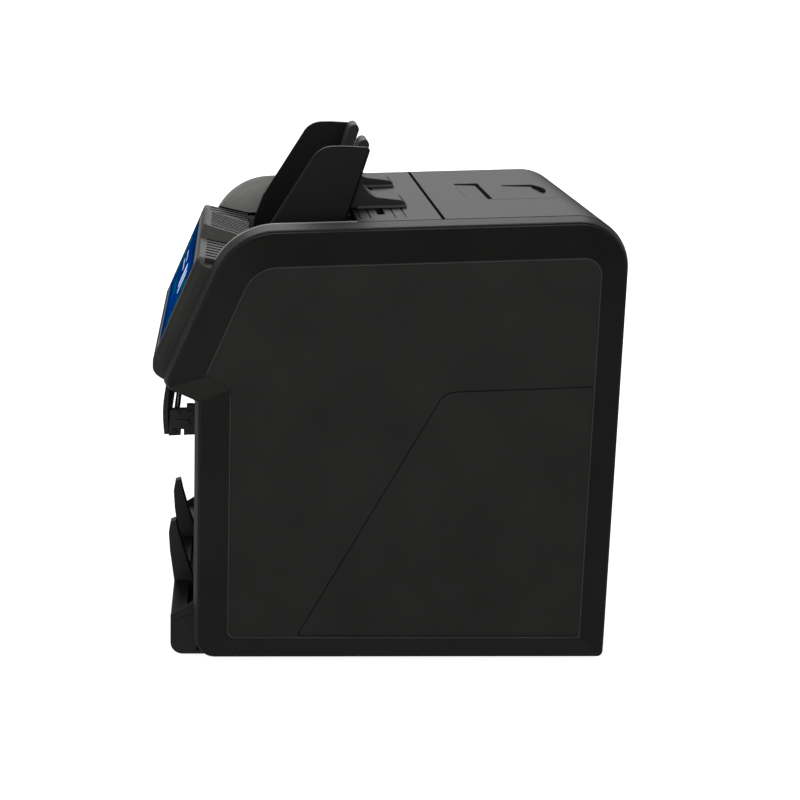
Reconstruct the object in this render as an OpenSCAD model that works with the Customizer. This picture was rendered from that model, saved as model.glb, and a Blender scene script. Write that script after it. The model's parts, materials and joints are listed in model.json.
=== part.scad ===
/* [Centre section] */
// Half the distance between the seams of the two side covers
seam_x = 121; // [119:0.5:126]
// Height of the rubber feet below the base
foot_drop = 3.2; // [2.6:0.1:3.6]

/* [Side covers] */
// Width of the sloping band beside each seam
band_width = 11; // [9:0.5:12]
// Height of the seam edge above the cover rim
band_rise = 2.8; // [2:0.1:3.2]
// How far the flat face stands out from the rim
face_bulge = 17.5; // [15:0.5:20]
// Width of the bevel between the rim and the flat face
bevel_width = 20; // [18:0.5:21]
// Wall thickness of the side covers
cover_wall = 2.6; // [2:0.1:3]

/* [Hopper] */
// Half the distance between the banknote guides at rest
guide_x = 85; // [80:1:88]
// Thickness of a banknote guide
guide_t = 5; // [3:0.1:5]
// Radius of the feed rollers
feed_roller_r = 14; // [13:0.1:14.2]

/* [Drive] */
// Radius of every roller shaft
shaft_r = 3; // [2.5:0.1:3.5]
// Running clearance of a shaft in the frame, on the radius
shaft_play = 0.05; // [0.02:0.01:0.08]
// Radius of the stacker wheels
stacker_wheel_r = 33; // [28:1:34]
// Radius of the reject wheels
reject_wheel_r = 17; // [14:1:18]
// Radius of the drive pulleys
pulley_r = 10; // [8:0.5:11]

/* [Stacker] */
// Half the distance between the stacker stop fingers
finger_x = 48; // [44:1:54]
// Thickness of a stop finger
finger_t = 9; // [6:0.5:10]

/* [Hidden] */

// Everything is symmetric about X = 0; the display faces -Y and the floor is Z = 0.
rim_x = seam_x + band_width;
face_x = rim_x + face_bulge;
strip_x = rim_x + 3;
gap = 0.4;
shell_x = seam_x - gap;
frame_out = seam_x - 0.5;
frame_t = 2;
frame_in = frame_out - frame_t;
skin = 2.6;
arc_steps = 7;

// Corners of the side cover rim as [y, z, radius], seen along -X, anticlockwise.
rim_low = foot_drop + band_rise;
rim_front = -119.5;
rim_rear = 147;
RIM = [
    [rim_front, rim_low, 11.6],
    [rim_rear, rim_low, 3.5],
    [rim_rear, 295.6, 30.5],
    [-99.3, 283.3, 42.5],
    [-141.2, 185.9, 6.5],
    [rim_front, 176.3, 2]];

// Slope of the top, and the height of the seam outline on it at a given y
top_slope = (295.6 - 283.6) / (rim_rear + 93.3);
function top_z(y) = 283.6 + (y + 93.3) * top_slope + band_rise;

// Places of the turning axes as [y, z]
feed_at = [-62, 213];
upper_at = [30, 214];
lower_at = [75, 160];
reject_at = [-80, 152];
stacker_at = [-62, 76];
motor_at = [60, 60];
hinge_at = [145.6, 150];
latch_at = [59, top_z(59) - 2.6];
stop_at = [-136.8, 139.5];
switch_at = [46, 30];
pinion_y = -8;
pinion_z = 262;
pinion_r = 8;
pinion_teeth = 16;

// Slot between the deck and the rear cover
slot_front = 30.4;
slot_rear = 32.4;
// How far each guide slides inwards and outwards
guide_in = 30;
guide_outwards = 5;

// Left-hand unit normal of the edge from a to b
function edge_normal(a, b) = [a.y - b.y, b.x - a.x] / norm(b - a);
function unit(v) = v / norm(v);
function turned(v, a) = [v.x * cos(a) - v.y * sin(a), v.x * sin(a) + v.y * cos(a)];
function yz(c) = [c[0], c[1]];

// The path moved to its left by t, with its ends cut square
function beside(path, t) =
    let (n = len(path))
    [for (i = [0:n - 1])
        moved_corner(i > 0 ? path[i - 1] : 2 * path[0] - path[1], path[i],
                     i < n - 1 ? path[i + 1] : 2 * path[n - 1] - path[n - 2], t)];
function reversed(v) = [for (i = [len(v) - 1:-1:0]) v[i]];

// Corner b once its two edges have moved inwards by g
function moved_corner(a, b, c, g) =
    let (n1 = edge_normal(a, b), n2 = edge_normal(b, c))
    b + g / (1 + n1 * n2) * (n1 + n2);

// Arc of radius r that rounds corner b
function corner_arc(a, b, c, r) =
    let (d1 = unit(b - a), d2 = unit(c - b),
         turn = atan2(cross(d1, d2), d1 * d2),
         side = turn > 0 ? 1 : -1,
         start = b - r * abs(tan(turn / 2)) * d1,
         spoke = side * [d1.y, -d1.x] * r,
         centre = start - spoke)
    [for (i = [0:arc_steps]) centre + turned(spoke, turn * i / arc_steps)];

// Closed outline of the rounded corners cs moved inwards by g; hollow corners keep their radius
function outline(cs, g = 0) =
    let (n = len(cs),
         p = [for (i = [0:n - 1])
                moved_corner(yz(cs[(i + n - 1) % n]), yz(cs[i]), yz(cs[(i + 1) % n]), g)])
    [for (i = [0:n - 1])
        let (a = p[(i + n - 1) % n], b = p[i], c = p[(i + 1) % n],
             hollow = cross(b - a, c - b) < 0,
             r = hollow ? cs[i][2] : cs[i][2] - g)
        each corner_arc(a, b, c, max(r, 1.2))];

// Solid through a list of layers [x, points], all with the same number of points
module loft_x(layers) {
    n = len(layers[0][1]);
    m = len(layers);
    points = [for (l = layers) for (p = l[1]) [l[0], p.x, p.y]];
    walls = [for (k = [0:m - 2]) for (i = [0:n - 1])
        let (j = (i + 1) % n) each [
            [k * n + i, (k + 1) * n + i, k * n + j],
            [k * n + j, (k + 1) * n + i, (k + 1) * n + j]]];
    caps = [[for (i = [0:n - 1]) i], [for (i = [n - 1:-1:0]) (m - 1) * n + i]];
    polyhedron(points, concat(walls, caps), convexity = 6);
}

// Draws a y-z outline as a prism from x0 to x1
module along_x(x0, x1) {
    translate([x0, 0, 0]) rotate([90, 0, 90]) linear_extrude(x1 - x0) children();
}

// Rod along X through [y, z]
module rod_x(at, r, x0, x1) {
    translate([x0, at.x, at.y]) rotate([0, 90, 0]) cylinder(r = r, h = x1 - x0, $fn = 48);
}

// Ring along X through [y, z]
module ring_x(at, r, bore, x0, x1) {
    difference() {
        rod_x(at, r, x0, x1);
        rod_x(at, bore, x0 - 1, x1 + 1);
    }
}

module both_sides() {
    children();
    mirror([1, 0, 0]) children();
}

module block(lo, hi) {
    translate(lo) cube(hi - lo);
}

// ---- base, frame and covers ----

tray_front = -136.9;
tray_lip = 29.9;
cheek_top = 40.5;
stack_floor = 22;

module base_tray() {
    color("#262625") difference() {
        union() {
            // front block with its rounded toe
            along_x(-shell_x, shell_x) polygon(concat(
                corner_arc([tray_front, 40], [tray_front, foot_drop], [0, foot_drop], 8),
                [[rim_front - gap, foot_drop], [rim_front - gap, cheek_top],
                 [tray_front, tray_lip]]));
            // floor pan
            block([-shell_x, rim_front - gap, foot_drop], [shell_x, 146.6, foot_drop + skin]);
            // low side walls inside the frame plates
            both_sides() block([frame_in - 2.6, rim_front - gap, foot_drop], [frame_in - 0.3, 140, 20]);
            // note ramp that starts the stacker floor
            along_x(-frame_in + 0.3, frame_in - 0.3) polygon([
                [rim_front - 1, foot_drop + 1], [-78, foot_drop + 1], [-78, 16],
                [rim_front - 1, stack_floor]]);
        }
        // space for the banknotes between the cheeks
        along_x(-shell_x + 3, shell_x - 3) polygon([
            [tray_front - 5, tray_lip - 1], [tray_front + 3, tray_lip - 1],
            [tray_front + 6, stack_floor], [rim_front, stack_floor],
            [rim_front, 60], [tray_front - 5, 60]]);
        // notches that the stop fingers stand in
        for (x = [-finger_x, finger_x])
            block([x - finger_t / 2 - 0.5, tray_front - 1, stack_floor],
                  [x + finger_t / 2 + 0.5, -130, 60]);
        // hollow under the ramp
        block([-frame_in + 6, rim_front + 2, foot_drop + skin], [frame_in - 6, -81, 12.5]);
        // screw bores for the feet
        for (x = [-95, 95], y = [-100, 118])
            translate([x, y, 0]) cylinder(r = 1.6, h = 10, $fn = 24);
    }
}

module frame_plate() {
    difference() {
        along_x(frame_in, frame_out) difference() {
            polygon(outline(RIM, 3));
            translate([rim_rear - 12, 0]) square([20, 300]);
            square([400, 2 * (foot_drop + skin + 0.1)], center = true);
            // the display housing and the covers stay clear of this edge
            polygon([[-160, 176], [-121.6, 176], [-121.6, 212], [-88, 257], [-22, 262], [150, 274],
                     [150, 320], [-160, 320]]);
        }
        for (at = [feed_at, upper_at, lower_at, reject_at, stacker_at])
            rod_x(at, shaft_r + shaft_play, frame_in - 1, frame_out + 1);
        rod_x(motor_at, 9, frame_in - 1, frame_out + 1);
    }
}

module left_frame() {
    color("silver") mirror([1, 0, 0]) frame_plate();
}

module right_frame() {
    color("silver") frame_plate();
}

ROD_PLACES = [[112, 100], [118, 225], [-20, 122], [-30, 30]];

module frame_rods() {
    color("gainsboro") for (at = ROD_PLACES) rod_x(at, 4, -frame_in, frame_in);
}

module side_cover() {
    boss_x = face_x - cover_wall;
    difference() {
        loft_x([
            [seam_x, outline(RIM, -band_rise)],
            [rim_x, outline(RIM)],
            [strip_x, outline(RIM, 1)],
            [face_x, outline(RIM, bevel_width)]]);
        loft_x([
            [seam_x - 1, outline(RIM, 0.3)],
            [rim_x, outline(RIM, cover_wall)],
            [strip_x - 1, outline(RIM, cover_wall + 1)],
            [face_x - cover_wall, outline(RIM, bevel_width + 1)]]);
        // shallow seat of the service panel
        along_x(face_x - 1.5, face_x + 1) polygon(service_outline(0));
    }
    // bosses that meet the frame plate
    for (at = BOSS_PLACES) ring_x(at, 4, 1.6, frame_out, boss_x + 0.5);
}

service_low = rim_low + bevel_width + 1;
service_rear = rim_rear - bevel_width - 1;
BOSS_PLACES = [[-90, 60], [116, 40], [100, 245], [-30, 240]];

// Lower rear area of the flat face, closed by its own panel
function service_outline(g) = outline([
    [-56, service_low, 1.5],
    [service_rear, service_low, 3],
    [service_rear, 193.4, 1.5],
    [33, 188.6, 12]], g);

module service_panel() {
    along_x(face_x - 1.5, face_x - 0.2) polygon(service_outline(0.35));
}

module left_side_cover() {
    color("#232323") mirror([1, 0, 0]) side_cover();
}

module right_side_cover() {
    color("#232323") side_cover();
}

module left_service_panel() {
    color("#242424") mirror([1, 0, 0]) service_panel();
}

module right_service_panel() {
    color("#242424") service_panel();
}

// Skin that follows the seam outline between two y values of the top
function top_skin(y0, y1, t) = [
    [y0, top_z(y0) - t], [y1, top_z(y1) - t], [y1, top_z(y1)], [y0, top_z(y0)]];

deck_front = -22;

module top_cover() {
    color("#3a3a39") difference() {
        union() {
            along_x(-shell_x, shell_x) polygon(top_skin(deck_front, slot_front, skin));
            // turned-down rear edge under the slot
            along_x(-shell_x, shell_x) polygon(top_skin(slot_front - 2, slot_front, 9));
            // ledge that closes the slot from below
            along_x(-shell_x + 1, shell_x - 1) polygon([
                [slot_front - 1, top_z(slot_front) - 9], [slot_rear + 3, top_z(slot_front) - 9],
                [slot_rear + 3, top_z(slot_front) - 7.5], [slot_front - 1, top_z(slot_front) - 7.5]]);
            // cheeks beside the hopper follow the seam outline
            both_sides() along_x(frame_in - 2.6, shell_x) intersection() {
                polygon(outline(RIM, -band_rise));
                polygon([[-113, 264.6], [-88.2, 259.7], [-60, 260.5], [deck_front + 1, 265],
                         [deck_front + 1, 320], [-113, 320]]);
            }
        }
        // slots that the stems of the note rests slide in
        both_sides() block([rest_in - guide_in + 3, stem_y - 2.4, 270], [94, stem_y + 2.4, 300]);
        // fine grooves beside the slots
        both_sides() for (y = [-20.1, -13.5, 2.1, 8.9])
            translate([85.5, y, top_z(y)]) cube([47, 1.2, 1.6], center = true);
    }
}

rear_back = rim_rear + band_rise;
rear_r = 33.3;

// Side profile of the rear cover shell, moved inwards by g
function rear_profile(g) = concat(
    [[slot_rear, top_z(slot_rear) - g]],
    [for (i = [0:2 * arc_steps])
        let (t = i / (2 * arc_steps), a = 90 - 90 * t + 2.85 * (1 - t))
        [rear_back - rear_r + (rear_r - g) * cos(a),
         top_z(rear_back - rear_r) - rear_r + (rear_r - g) * sin(a)]],
    [[rear_back - g, hinge_at.y + 4.8]]);

// Leaf-shaped scoop along the rear edge of the finger recess
FINGER_SCOOP = concat(
    [for (i = [0:8]) let (t = i / 8) [-29 + 46 * t, 110 + 2 * t + 4.4 * sin(180 * t)]],
    [for (i = [7:-1:1]) let (t = i / 8) [-29 + 46 * t, 110 + 2 * t - 2.4 * sin(180 * t)]]);

// Prism of a plan outline cut into the top to an even depth
module finger_cut(depth) {
    intersection() {
        translate([0, 0, 270]) linear_extrude(50) children();
        along_x(-60, 60) polygon([
            [80, top_z(80) - depth], [125, top_z(125) - depth], [125, 330], [80, 330]]);
    }
}

module rear_cover() {
    color("#3a3a39") difference() {
        union() {
            along_x(-shell_x, shell_x) polygon(concat(
                rear_profile(0), reversed(rear_profile(skin))));
            // the latch well and the finger recess hang below the skin
            block([-47, 53, top_z(60) - 14], [43, 77, top_z(53) - skin + 0.8]);
            block([-33, 85, top_z(85) - 8], [22, 119, top_z(85) - skin + 0.8]);
            // hinge barrels
            for (x = [-90, 30]) {
                rod_x(hinge_at, 4, x, x + 60);
                block([x, hinge_at.x - 2, hinge_at.y], [x + 60, hinge_at.x + 4, hinge_at.y + 14]);
            }
        }
        for (x = [-90, 30]) rod_x(hinge_at, 2.05, x - 1, x + 61);
        // latch well
        translate([0, 0, top_z(60) - 11]) linear_extrude(30) polygon([
            [-44, 56.5], [30, 56.5], [39, 73.4], [-44, 73.4]]);
        rod_x(latch_at, 1, -45.6, 41.6);
        // shallow finger recess, deeper along its rounded rear edge
        finger_cut(1.2) polygon([[-30, 88.5], [15, 88.5], [17, 112], [-29, 110]]);
        finger_cut(4) polygon(FINGER_SCOOP);
        // parting line from the latch to the rear corner
        along_x(39.6, 40.4) polygon([
            [73.4, top_z(73.4) - 0.6], [118, top_z(118) - 0.6], [118, 320], [73.4, 320]]);
    }
}

module rear_cover_hinge_rod() {
    color("silver") rod_x(hinge_at, 2, -100, 100);
}

module latch_tab() {
    color("#2b2b2a") difference() {
        union() {
            translate([0, 0, latch_at.y - 0.6]) linear_extrude(2.6) polygon([
                [-41, 57.2], [29.8, 57.2], [37.4, 71.6], [-41, 71.6]]);
            rod_x(latch_at, 1.8, -40, 28);
        }
        rod_x(latch_at, 1.05, -60, 60);
    }
}

module latch_pin() {
    color("silver") rod_x(latch_at, 1, -45.6, 41.6);
}

back_y = 144.6;

module back_panel() {
    color("#262625") difference() {
        union() {
            block([-shell_x, back_y, foot_drop + skin + 0.1], [shell_x, back_y + 2, hinge_at.y - 4.6]);
            // ears that hold the hinge rod
            for (x = [-99, -29, 21, 91]) {
                block([x, hinge_at.x - 4, hinge_at.y - 16], [x + 8, hinge_at.x + 1, hinge_at.y]);
                rod_x(hinge_at, 4, x, x + 8);
            }
        }
        rod_x(hinge_at, 2, -120, 120);
        // cooling slots
        for (i = [0:8]) block([-90, back_y - 1, 60 + 7 * i], [-20, back_y + 3, 63 + 7 * i]);
        // openings of the power inlet, the switch and the data ports
        block([68, back_y - 1, 19], [96, back_y + 3, 39]);
        block([switch_at.x - 11, back_y - 1, switch_at.y - 7],
              [switch_at.x + 11, back_y + 3, switch_at.y + 7]);
        block([-90, back_y - 1, 22], [-58, back_y + 3, 36]);
        for (at = SCREW_PLACES) translate([at.x, 0, at.y])
            rotate([-90, 0, 0]) cylinder(r = 1.5, h = 200, $fn = 24);
    }
}

// ---- display ----

face_top = [-120.6, 265.6];
face_low = [-149, 198.2];
face_dir = unit(face_top - face_low);
face_out = [-face_dir.y, face_dir.x];
housing_rear = -88.6;
window_x = 106;
// Raised middle: half width of its top and of its foot, its rise, and the groove pitches
ridge_x = 35;
ridge_foot = 44;
ridge_rise = 8.7;
ridge_pitch = 6.3;
shoulder_pitch = 10.2;

// Point on the front of the housing, s along the slope from the lower edge, d in front of it
function on_face(s, d) = face_low + s * face_dir + d * face_out;

// Side profile of the raised middle, sunk into the top at share 0 and full at share 1
function ridge_profile(share) =
    let (crest = on_face(72.6 + ridge_rise * share, 2.3 * share - 0.5))
    [on_face(69.6, -0.5), [housing_rear, 257.2], [housing_rear, 259 + 5.6 * share],
     crest + [2.4, -0.7 * share - 0.5], crest, crest - (1.5 + share) * face_dir];

// Side profile of the housing
HOUSING = concat(
    [face_top],
    [on_face(1, 0)],
    corner_arc(face_top, [-149.6, 190.5], [-120, 179.8], 5),
    [[-122, 180.4], [-122, 186.5], [-137.4, 190.2]],
    [[housing_rear - 2, 256.2], [housing_rear, 256.2], [housing_rear, 259.2]]);

module display_housing() {
    color("#2a2a29") difference() {
        union() {
            along_x(-shell_x, shell_x) polygon(HOUSING);
            // raised middle of the ribbed top, with sloping sides
            loft_x([[-ridge_foot, ridge_profile(0)], [-ridge_x, ridge_profile(1)],
                    [ridge_x, ridge_profile(1)], [ridge_foot, ridge_profile(0)]]);
        }
        // hollow inside, open at the back
        along_x(-shell_x + 3, shell_x - 3) polygon([
            on_face(4, -3), on_face(70.4, -3), [-115.5, 260.3], [-92, 253.5], [-92, 236], [-130, 188]]);
        // window of the display
        along_x(-window_x, window_x) polygon([
            on_face(5, 1), on_face(69, 1), on_face(69, -10), on_face(5, -10)]);
        // grooves on the shoulders and on the raised middle
        both_sides() for (i = [0:7]) translate([ridge_foot + 1.2 + shoulder_pitch * i, 0, 0])
            along_x(-2, 2) polygon([
                [-116.2, 263], [-80, 255.8], [-80, 275], [-115.4, 275]]);
        for (i = [-5:5]) translate([ridge_pitch * i, 0, 0])
            along_x(-1.5, 1.5) polygon([
                [-114, 270.4], [-80, 260.6], [-80, 285], [-113.2, 285]]);
    }
}

module display_glass() {
    color("#101114") along_x(0.4 - window_x, window_x - 0.4) polygon([
        on_face(5.4, -1.8), on_face(68.6, -1.8), on_face(68.6, 0), on_face(5.4, 0)]);
}

module display_module() {
    color("#2e6fb4") along_x(-100, 100) polygon([
        on_face(12, -6.5), on_face(62, -6.5), on_face(62, -2.1), on_face(12, -2.1)]);
}

// ---- hopper ----

throat_z = 226;
throat_front = -88.2;
lean = 1 / 3.155;
// Front side of the leaning support at height z
function support_y(z) = -25.6 + (z - 284) * lean;

module feed_plate() {
    color("#2f2f2e") difference() {
        union() {
            along_x(-frame_in + 0.3, frame_in - 0.3) polygon([
                [throat_front, 256], [throat_front, throat_z], [support_y(throat_z) - 1, throat_z],
                [support_y(throat_z) - 1, throat_z - 3], [throat_front - 2.4, throat_z - 3],
                [throat_front - 2.4, 255.6], [throat_front - 2.4, 256]]);
        }
        // openings over the feed rollers
        for (x = FEED_X) translate([x, feed_at.x, throat_z])
            cube([feed_roller_w + 3, 2 * feed_roller_r - 5, 8], center = true);
    }
}

module throat_wall() {
    color("#2c2c2b") {
        // leaning wall below the deck, with slots for the guide arms
        difference() {
            along_x(-frame_in + 2.9, frame_in - 2.9) polygon([
                [support_y(throat_z - 3), throat_z - 3], [support_y(throat_z - 3) + 3, throat_z - 3],
                [support_y(283.5) + 3, 283.5], [support_y(283.5), 283.5]]);
            both_sides() block([guide_x - guide_t - guide_in - 1, -40, pinion_z - 4],
                               [guide_x + guide_outwards + 1, -20, pinion_z + 4]);
        }
        // shelf and post of the rack pinion
        along_x(-14, 14) polygon([
            [support_y(pinion_z - 10) + 2, pinion_z - 10], [pinion_y + 6, pinion_z - 10],
            [pinion_y + 6, pinion_z - 8], [support_y(pinion_z - 8) + 2, pinion_z - 8]]);
        translate([0, pinion_y, pinion_z - 9]) cylinder(r = 2, h = 14, $fn = 32);
    }
}

// The rest stands this far either side of the middle
rest_in = 36;
rest_w = 30;
rest_t = 7.4;
rest_top = 335;
rest_foot = 12.6;
stem_y = -5.5;

// Front of the note rest at height z
function rest_y(z) = -22.6 + (z - 322.4) * lean;
// Underside of the foot, just above the deck
function foot_z(y) = top_z(y) + 0.3;

// Side profile of a note rest: leaning blade, swept into a foot on the deck
REST = concat(
    [[rest_y(262), 262], [rest_y(262) + 4, 262], [rest_y(284) + rest_t, 284],
     [rest_y(284) + rest_t, foot_z(-24)], [rest_foot, foot_z(rest_foot)],
     [rest_foot - 0.4, foot_z(rest_foot) + 1.4], [8, foot_z(8) + 4.4], [-2, foot_z(-2) + 5.6]],
    [for (i = [0:8]) let (a = 11.25 * i)
        [rest_y(314) + rest_t + 15 * (1 - sin(a)), 314 - (314 - foot_z(-4) - 6) * cos(a)]],
    [[rest_y(rest_top - 3) + rest_t, rest_top - 3], [rest_y(rest_top) + 4.4, rest_top - 0.6],
     [rest_y(rest_top) + 2.4, rest_top], [rest_y(rest_top) + 0.8, rest_top - 0.6]]);

// The note rest of the right guide, with the stem and bridge that join it to the rack at rack_y
module note_rest(rack_y) {
    color("#2c2c2b") {
        along_x(rest_in, rest_in + rest_w) polygon(REST);
        block([rest_in + 6, stem_y - 1.9, pinion_z + 3.2],
              [rest_in + 24, stem_y + 1.9, foot_z(-8) + 2]);
        block([rest_in + 6, min(rack_y, stem_y - 1.9), pinion_z + 3.2],
              [rest_in + 24, max(rack_y, stem_y + 1.9), pinion_z + 7]);
    }
}

module right_note_rest() {
    note_rest(pinion_y - rack_near - rack_depth);
}

module left_note_rest() {
    mirror([1, 0, 0]) note_rest(pinion_y + rack_near + rack_depth);
}

// Side profile of a banknote guide: low front edge, knee, shoulder, rear top corner
GUIDE = concat(
    [[support_y(232) - 1.4, 232], [-12.6, 330.6], [-13.4, 331.9], [-30, 332.4]],
    corner_arc([-30, 332.4], [-45.2, 331.8], [-78.4, 277.5], 17),
    [[-78.4, 277.5], [-84.6, 260], [-84.6, 232]]);

module guide(arm_y) {
    // upright plate
    along_x(guide_x - guide_t, guide_x) polygon(GUIDE);
    // arm that reaches back through the support to the rack at arm_y
    block([guide_x - guide_t, support_y(pinion_z) - 2.6, pinion_z - 3], [guide_x, arm_y, pinion_z + 3]);
}

rack_depth = 4;
rack_near = pinion_r + 1.1;

module left_guide() {
    color("#1c1c1b") mirror([1, 0, 0]) guide(pinion_y + rack_near + rack_depth);
}

module right_guide() {
    color("#1c1c1b") guide(pinion_y - rack_near);
}

tooth_pitch = 2 * PI * pinion_r / pinion_teeth;

// Rack on the -Y side of the pinion; it reaches past the pinion and ends at its guide
module rack() {
    translate([0, pinion_y, pinion_z - 3]) {
        block([-20, -rack_near - rack_depth, 0], [guide_x - guide_t, -rack_near, 6]);
        linear_extrude(6) for (k = [-6:12]) translate([(k + 0.5) * tooth_pitch, -rack_near])
            polygon([[-0.6, 0], [0.6, 0], [0.3, 1.8], [-0.3, 1.8]]);
    }
}

module right_rack() {
    color("dimgray") rack();
}

module left_rack() {
    color("dimgray") translate([0, 2 * pinion_y, 0]) rotate([0, 0, 180]) rack();
}

module rack_pinion() {
    color("ivory") translate([0, pinion_y, pinion_z - 3]) difference() {
        linear_extrude(6) union() {
            circle(r = pinion_r - 1.1, $fn = 48);
            for (k = [0:pinion_teeth - 1]) rotate(k * 360 / pinion_teeth)
                polygon([[6, -0.55], [pinion_r + 0.7, -0.25], [pinion_r + 0.7, 0.25], [6, 0.55]]);
        }
        translate([0, 0, -1]) cylinder(r = 2.05, h = 10, $fn = 32);
    }
}

// ---- note transport ----

drive_x = -frame_out - 9.5;
shaft_end = frame_out + 2;

module shaft(at) {
    color("silver") rod_x(at, shaft_r, drive_x - 1, shaft_end);
}

module rollers(at, r, xs, w) {
    for (x = xs) ring_x(at, r, shaft_r, x - w / 2, x + w / 2);
}

module pulley(at) {
    color("gray") difference() {
        union() {
            rod_x(at, pulley_r, drive_x, drive_x + 8);
            rod_x(at, pulley_r + 2, drive_x, drive_x + 0.8);
        }
        rod_x(at, shaft_r, drive_x - 1, drive_x + 9);
    }
}

// Hub with curved flexible vanes, drawn flat about the shaft
module vane_wheel(r, vanes) {
    hub = 9;
    bend = 22;
    circle(r = hub, $fn = 48);
    for (k = [0:vanes - 1]) rotate(k * 360 / vanes) polygon([
        [hub - 1, -1], [hub + 0.45 * (r - hub), 0.8],
        [r * cos(bend), r * sin(bend)], [(r - 0.8) * cos(bend + 4), (r - 0.8) * sin(bend + 4)],
        [hub + 0.4 * (r - hub), 3], [hub - 1, 1.6]]);
}

module vane_wheels(at, r, vanes, xs, w) {
    for (x = xs) difference() {
        along_x(x - w / 2, x + w / 2) translate(at) vane_wheel(r, vanes);
        rod_x(at, shaft_r, x - w, x + w);
    }
}

FEED_X = [-22, 22];
feed_roller_w = 16;
ROLLER_X = [-72, -26, 26, 72];
WHEEL_X = [-70, -24, 24, 70];
REJECT_X = [-88, -24, 24, 88];

module feed_shaft() { shaft(feed_at); }
module feed_rollers() { color("#a8743a") rollers(feed_at, feed_roller_r, FEED_X, feed_roller_w); }
module feed_pulley() { pulley(feed_at); }
module upper_shaft() { shaft(upper_at); }
module upper_rollers() { color("#8a8a88") rollers(upper_at, 14, ROLLER_X, 14); }
module upper_pulley() { pulley(upper_at); }
module lower_shaft() { shaft(lower_at); }
module lower_rollers() { color("#8a8a88") rollers(lower_at, 14, ROLLER_X, 14); }
module lower_pulley() { pulley(lower_at); }
module reject_shaft() { shaft(reject_at); }
module reject_wheels() { color("#3b3b3a") vane_wheels(reject_at, reject_wheel_r, 6, REJECT_X, 8); }
module reject_pulley() { pulley(reject_at); }
module stacker_shaft() { shaft(stacker_at); }
module stacker_wheels() { color("#3b3b3a") vane_wheels(stacker_at, stacker_wheel_r, 10, WHEEL_X, 8); }
module stacker_pulley() { pulley(stacker_at); }

module retard_pad() {
    y = feed_at.x + feed_roller_r + 0.4;
    color("#1d1d1d") block([-30, y, feed_at.y - 7], [30, y + 5, feed_at.y + 7]);
}

module drive_belt() {
    clear = 0.3;
    thick = 1.6;
    color("#161616") along_x(drive_x + 1.2, drive_x + 7.2) difference() {
        hull() belt_circles(pulley_r + clear + thick);
        hull() belt_circles(pulley_r + clear);
    }
}

module belt_circles(r) {
    for (at = [motor_at, lower_at, upper_at, feed_at, reject_at, stacker_at])
        translate(at) circle(r = r, $fn = 32);
}

motor_len = 48;

module drive_motor() {
    color("#4a4a4c") difference() {
        union() {
            rod_x(motor_at, 25, -frame_in + 0.2, -frame_in + motor_len);
            rod_x(motor_at, 8, -frame_in - 1, -frame_in + 1);
        }
        rod_x(motor_at, 2.55, -frame_in - 2, -frame_in + 12);
    }
}

module motor_pulley() {
    color("gray") union() {
        rod_x(motor_at, 2.5, drive_x - 1, -frame_in + 11);
        rod_x(motor_at, pulley_r, drive_x, drive_x + 8);
        rod_x(motor_at, pulley_r + 2, drive_x, drive_x + 0.8);
    }
}

module image_sensor() {
    color("#20242a") block([-98, -26, 201], [98, -6, 214]);
}

TRACK = [[-40, 196], [54, 196], [94, 178], [94, 142], [60, 118], [-22, 104]];

module note_track() {
    color("#55585c") along_x(-frame_in + 0.3, frame_in - 0.3)
        polygon(concat(TRACK, reversed(beside(TRACK, -2))));
}

// ---- pockets ----

module reject_tray() {
    color("#1f1f1e") difference() {
        union() {
            along_x(-frame_in + 0.3, frame_in - 0.3) polygon([
                [-118.5, 128.5], [-60, 126], [-60, 128.6], [-98, 131.2], [-118.5, 131.2]]);
            // arms that carry the stop plate
            both_sides() along_x(61, 68) polygon([
                [-140.4, 136.6], [-118, 130], [-100, 130], [-100, 138], [-119, 157.4],
                [-128.6, 157.4], [-128.6, 154.4], [-139.4, 154]]);
        }
        rod_x(stop_at, 2, -80, 80);
        // notch in the lower edge of each arm
        both_sides() block([50, -132.4, 130], [80, -130.4, 141]);
    }
}

// Side profile of the reject stop plate, bowed outwards
STOP = concat(
    [for (i = [0:8]) let (t = i / 8) [-143.6 - 1.6 * sin(150 * t) + 2.6 * t * t, 135.2 + 36.4 * t]],
    [for (i = [8:-1:0]) let (t = i / 8) [-140.4 - 0.9 * sin(150 * t) + 1.4 * t * t, 135.2 + 36.4 * t]]);

module reject_stop() {
    color("#2b2b2a") difference() {
        union() {
            along_x(-60, 60) polygon(STOP);
            for (x = [-58, 50]) {
                rod_x(stop_at, 3.6, x, x + 8);
                block([x, -141.4, stop_at.y - 3], [x + 8, stop_at.x, stop_at.y + 3]);
            }
        }
        rod_x(stop_at, 2.05, -80, 80);
        // finger notch in the middle of the upper edge
        translate([0, -150, 176]) rotate([-90, 0, 0]) cylinder(r = 14, h = 20, $fn = 48);
    }
}

module reject_stop_pin() {
    color("silver") rod_x(stop_at, 2, -69, 69);
}

comb_y = -86;

module stacker_plate() {
    color("#2b2b2a") difference() {
        along_x(-frame_in + 2.9, frame_in - 2.9) polygon([
            [comb_y, 17.3], [comb_y + 3, 17.3], [comb_y + 3, 125.6], [comb_y, 125.6]]);
        for (x = WHEEL_X) block([x - 6, comb_y - 1, 44], [x + 6, comb_y + 4, 110]);
    }
}

// Side profile of a stacker stop finger
FINGER = [[-133, stack_floor], [-136.4, 25.4], [-139.9, 51], [-140.7, 62.6], [-139.6, 70.4],
          [-136.6, 72.8], [-136.4, 62.6], [-134.9, 56], [-126.4, 30], [-126.4, stack_floor]];

module stacker_fingers() {
    color("#3c3c3b") for (x = [-finger_x, finger_x])
        along_x(x - finger_t / 2, x + finger_t / 2) polygon(FINGER);
}

// ---- electrics ----

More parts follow.
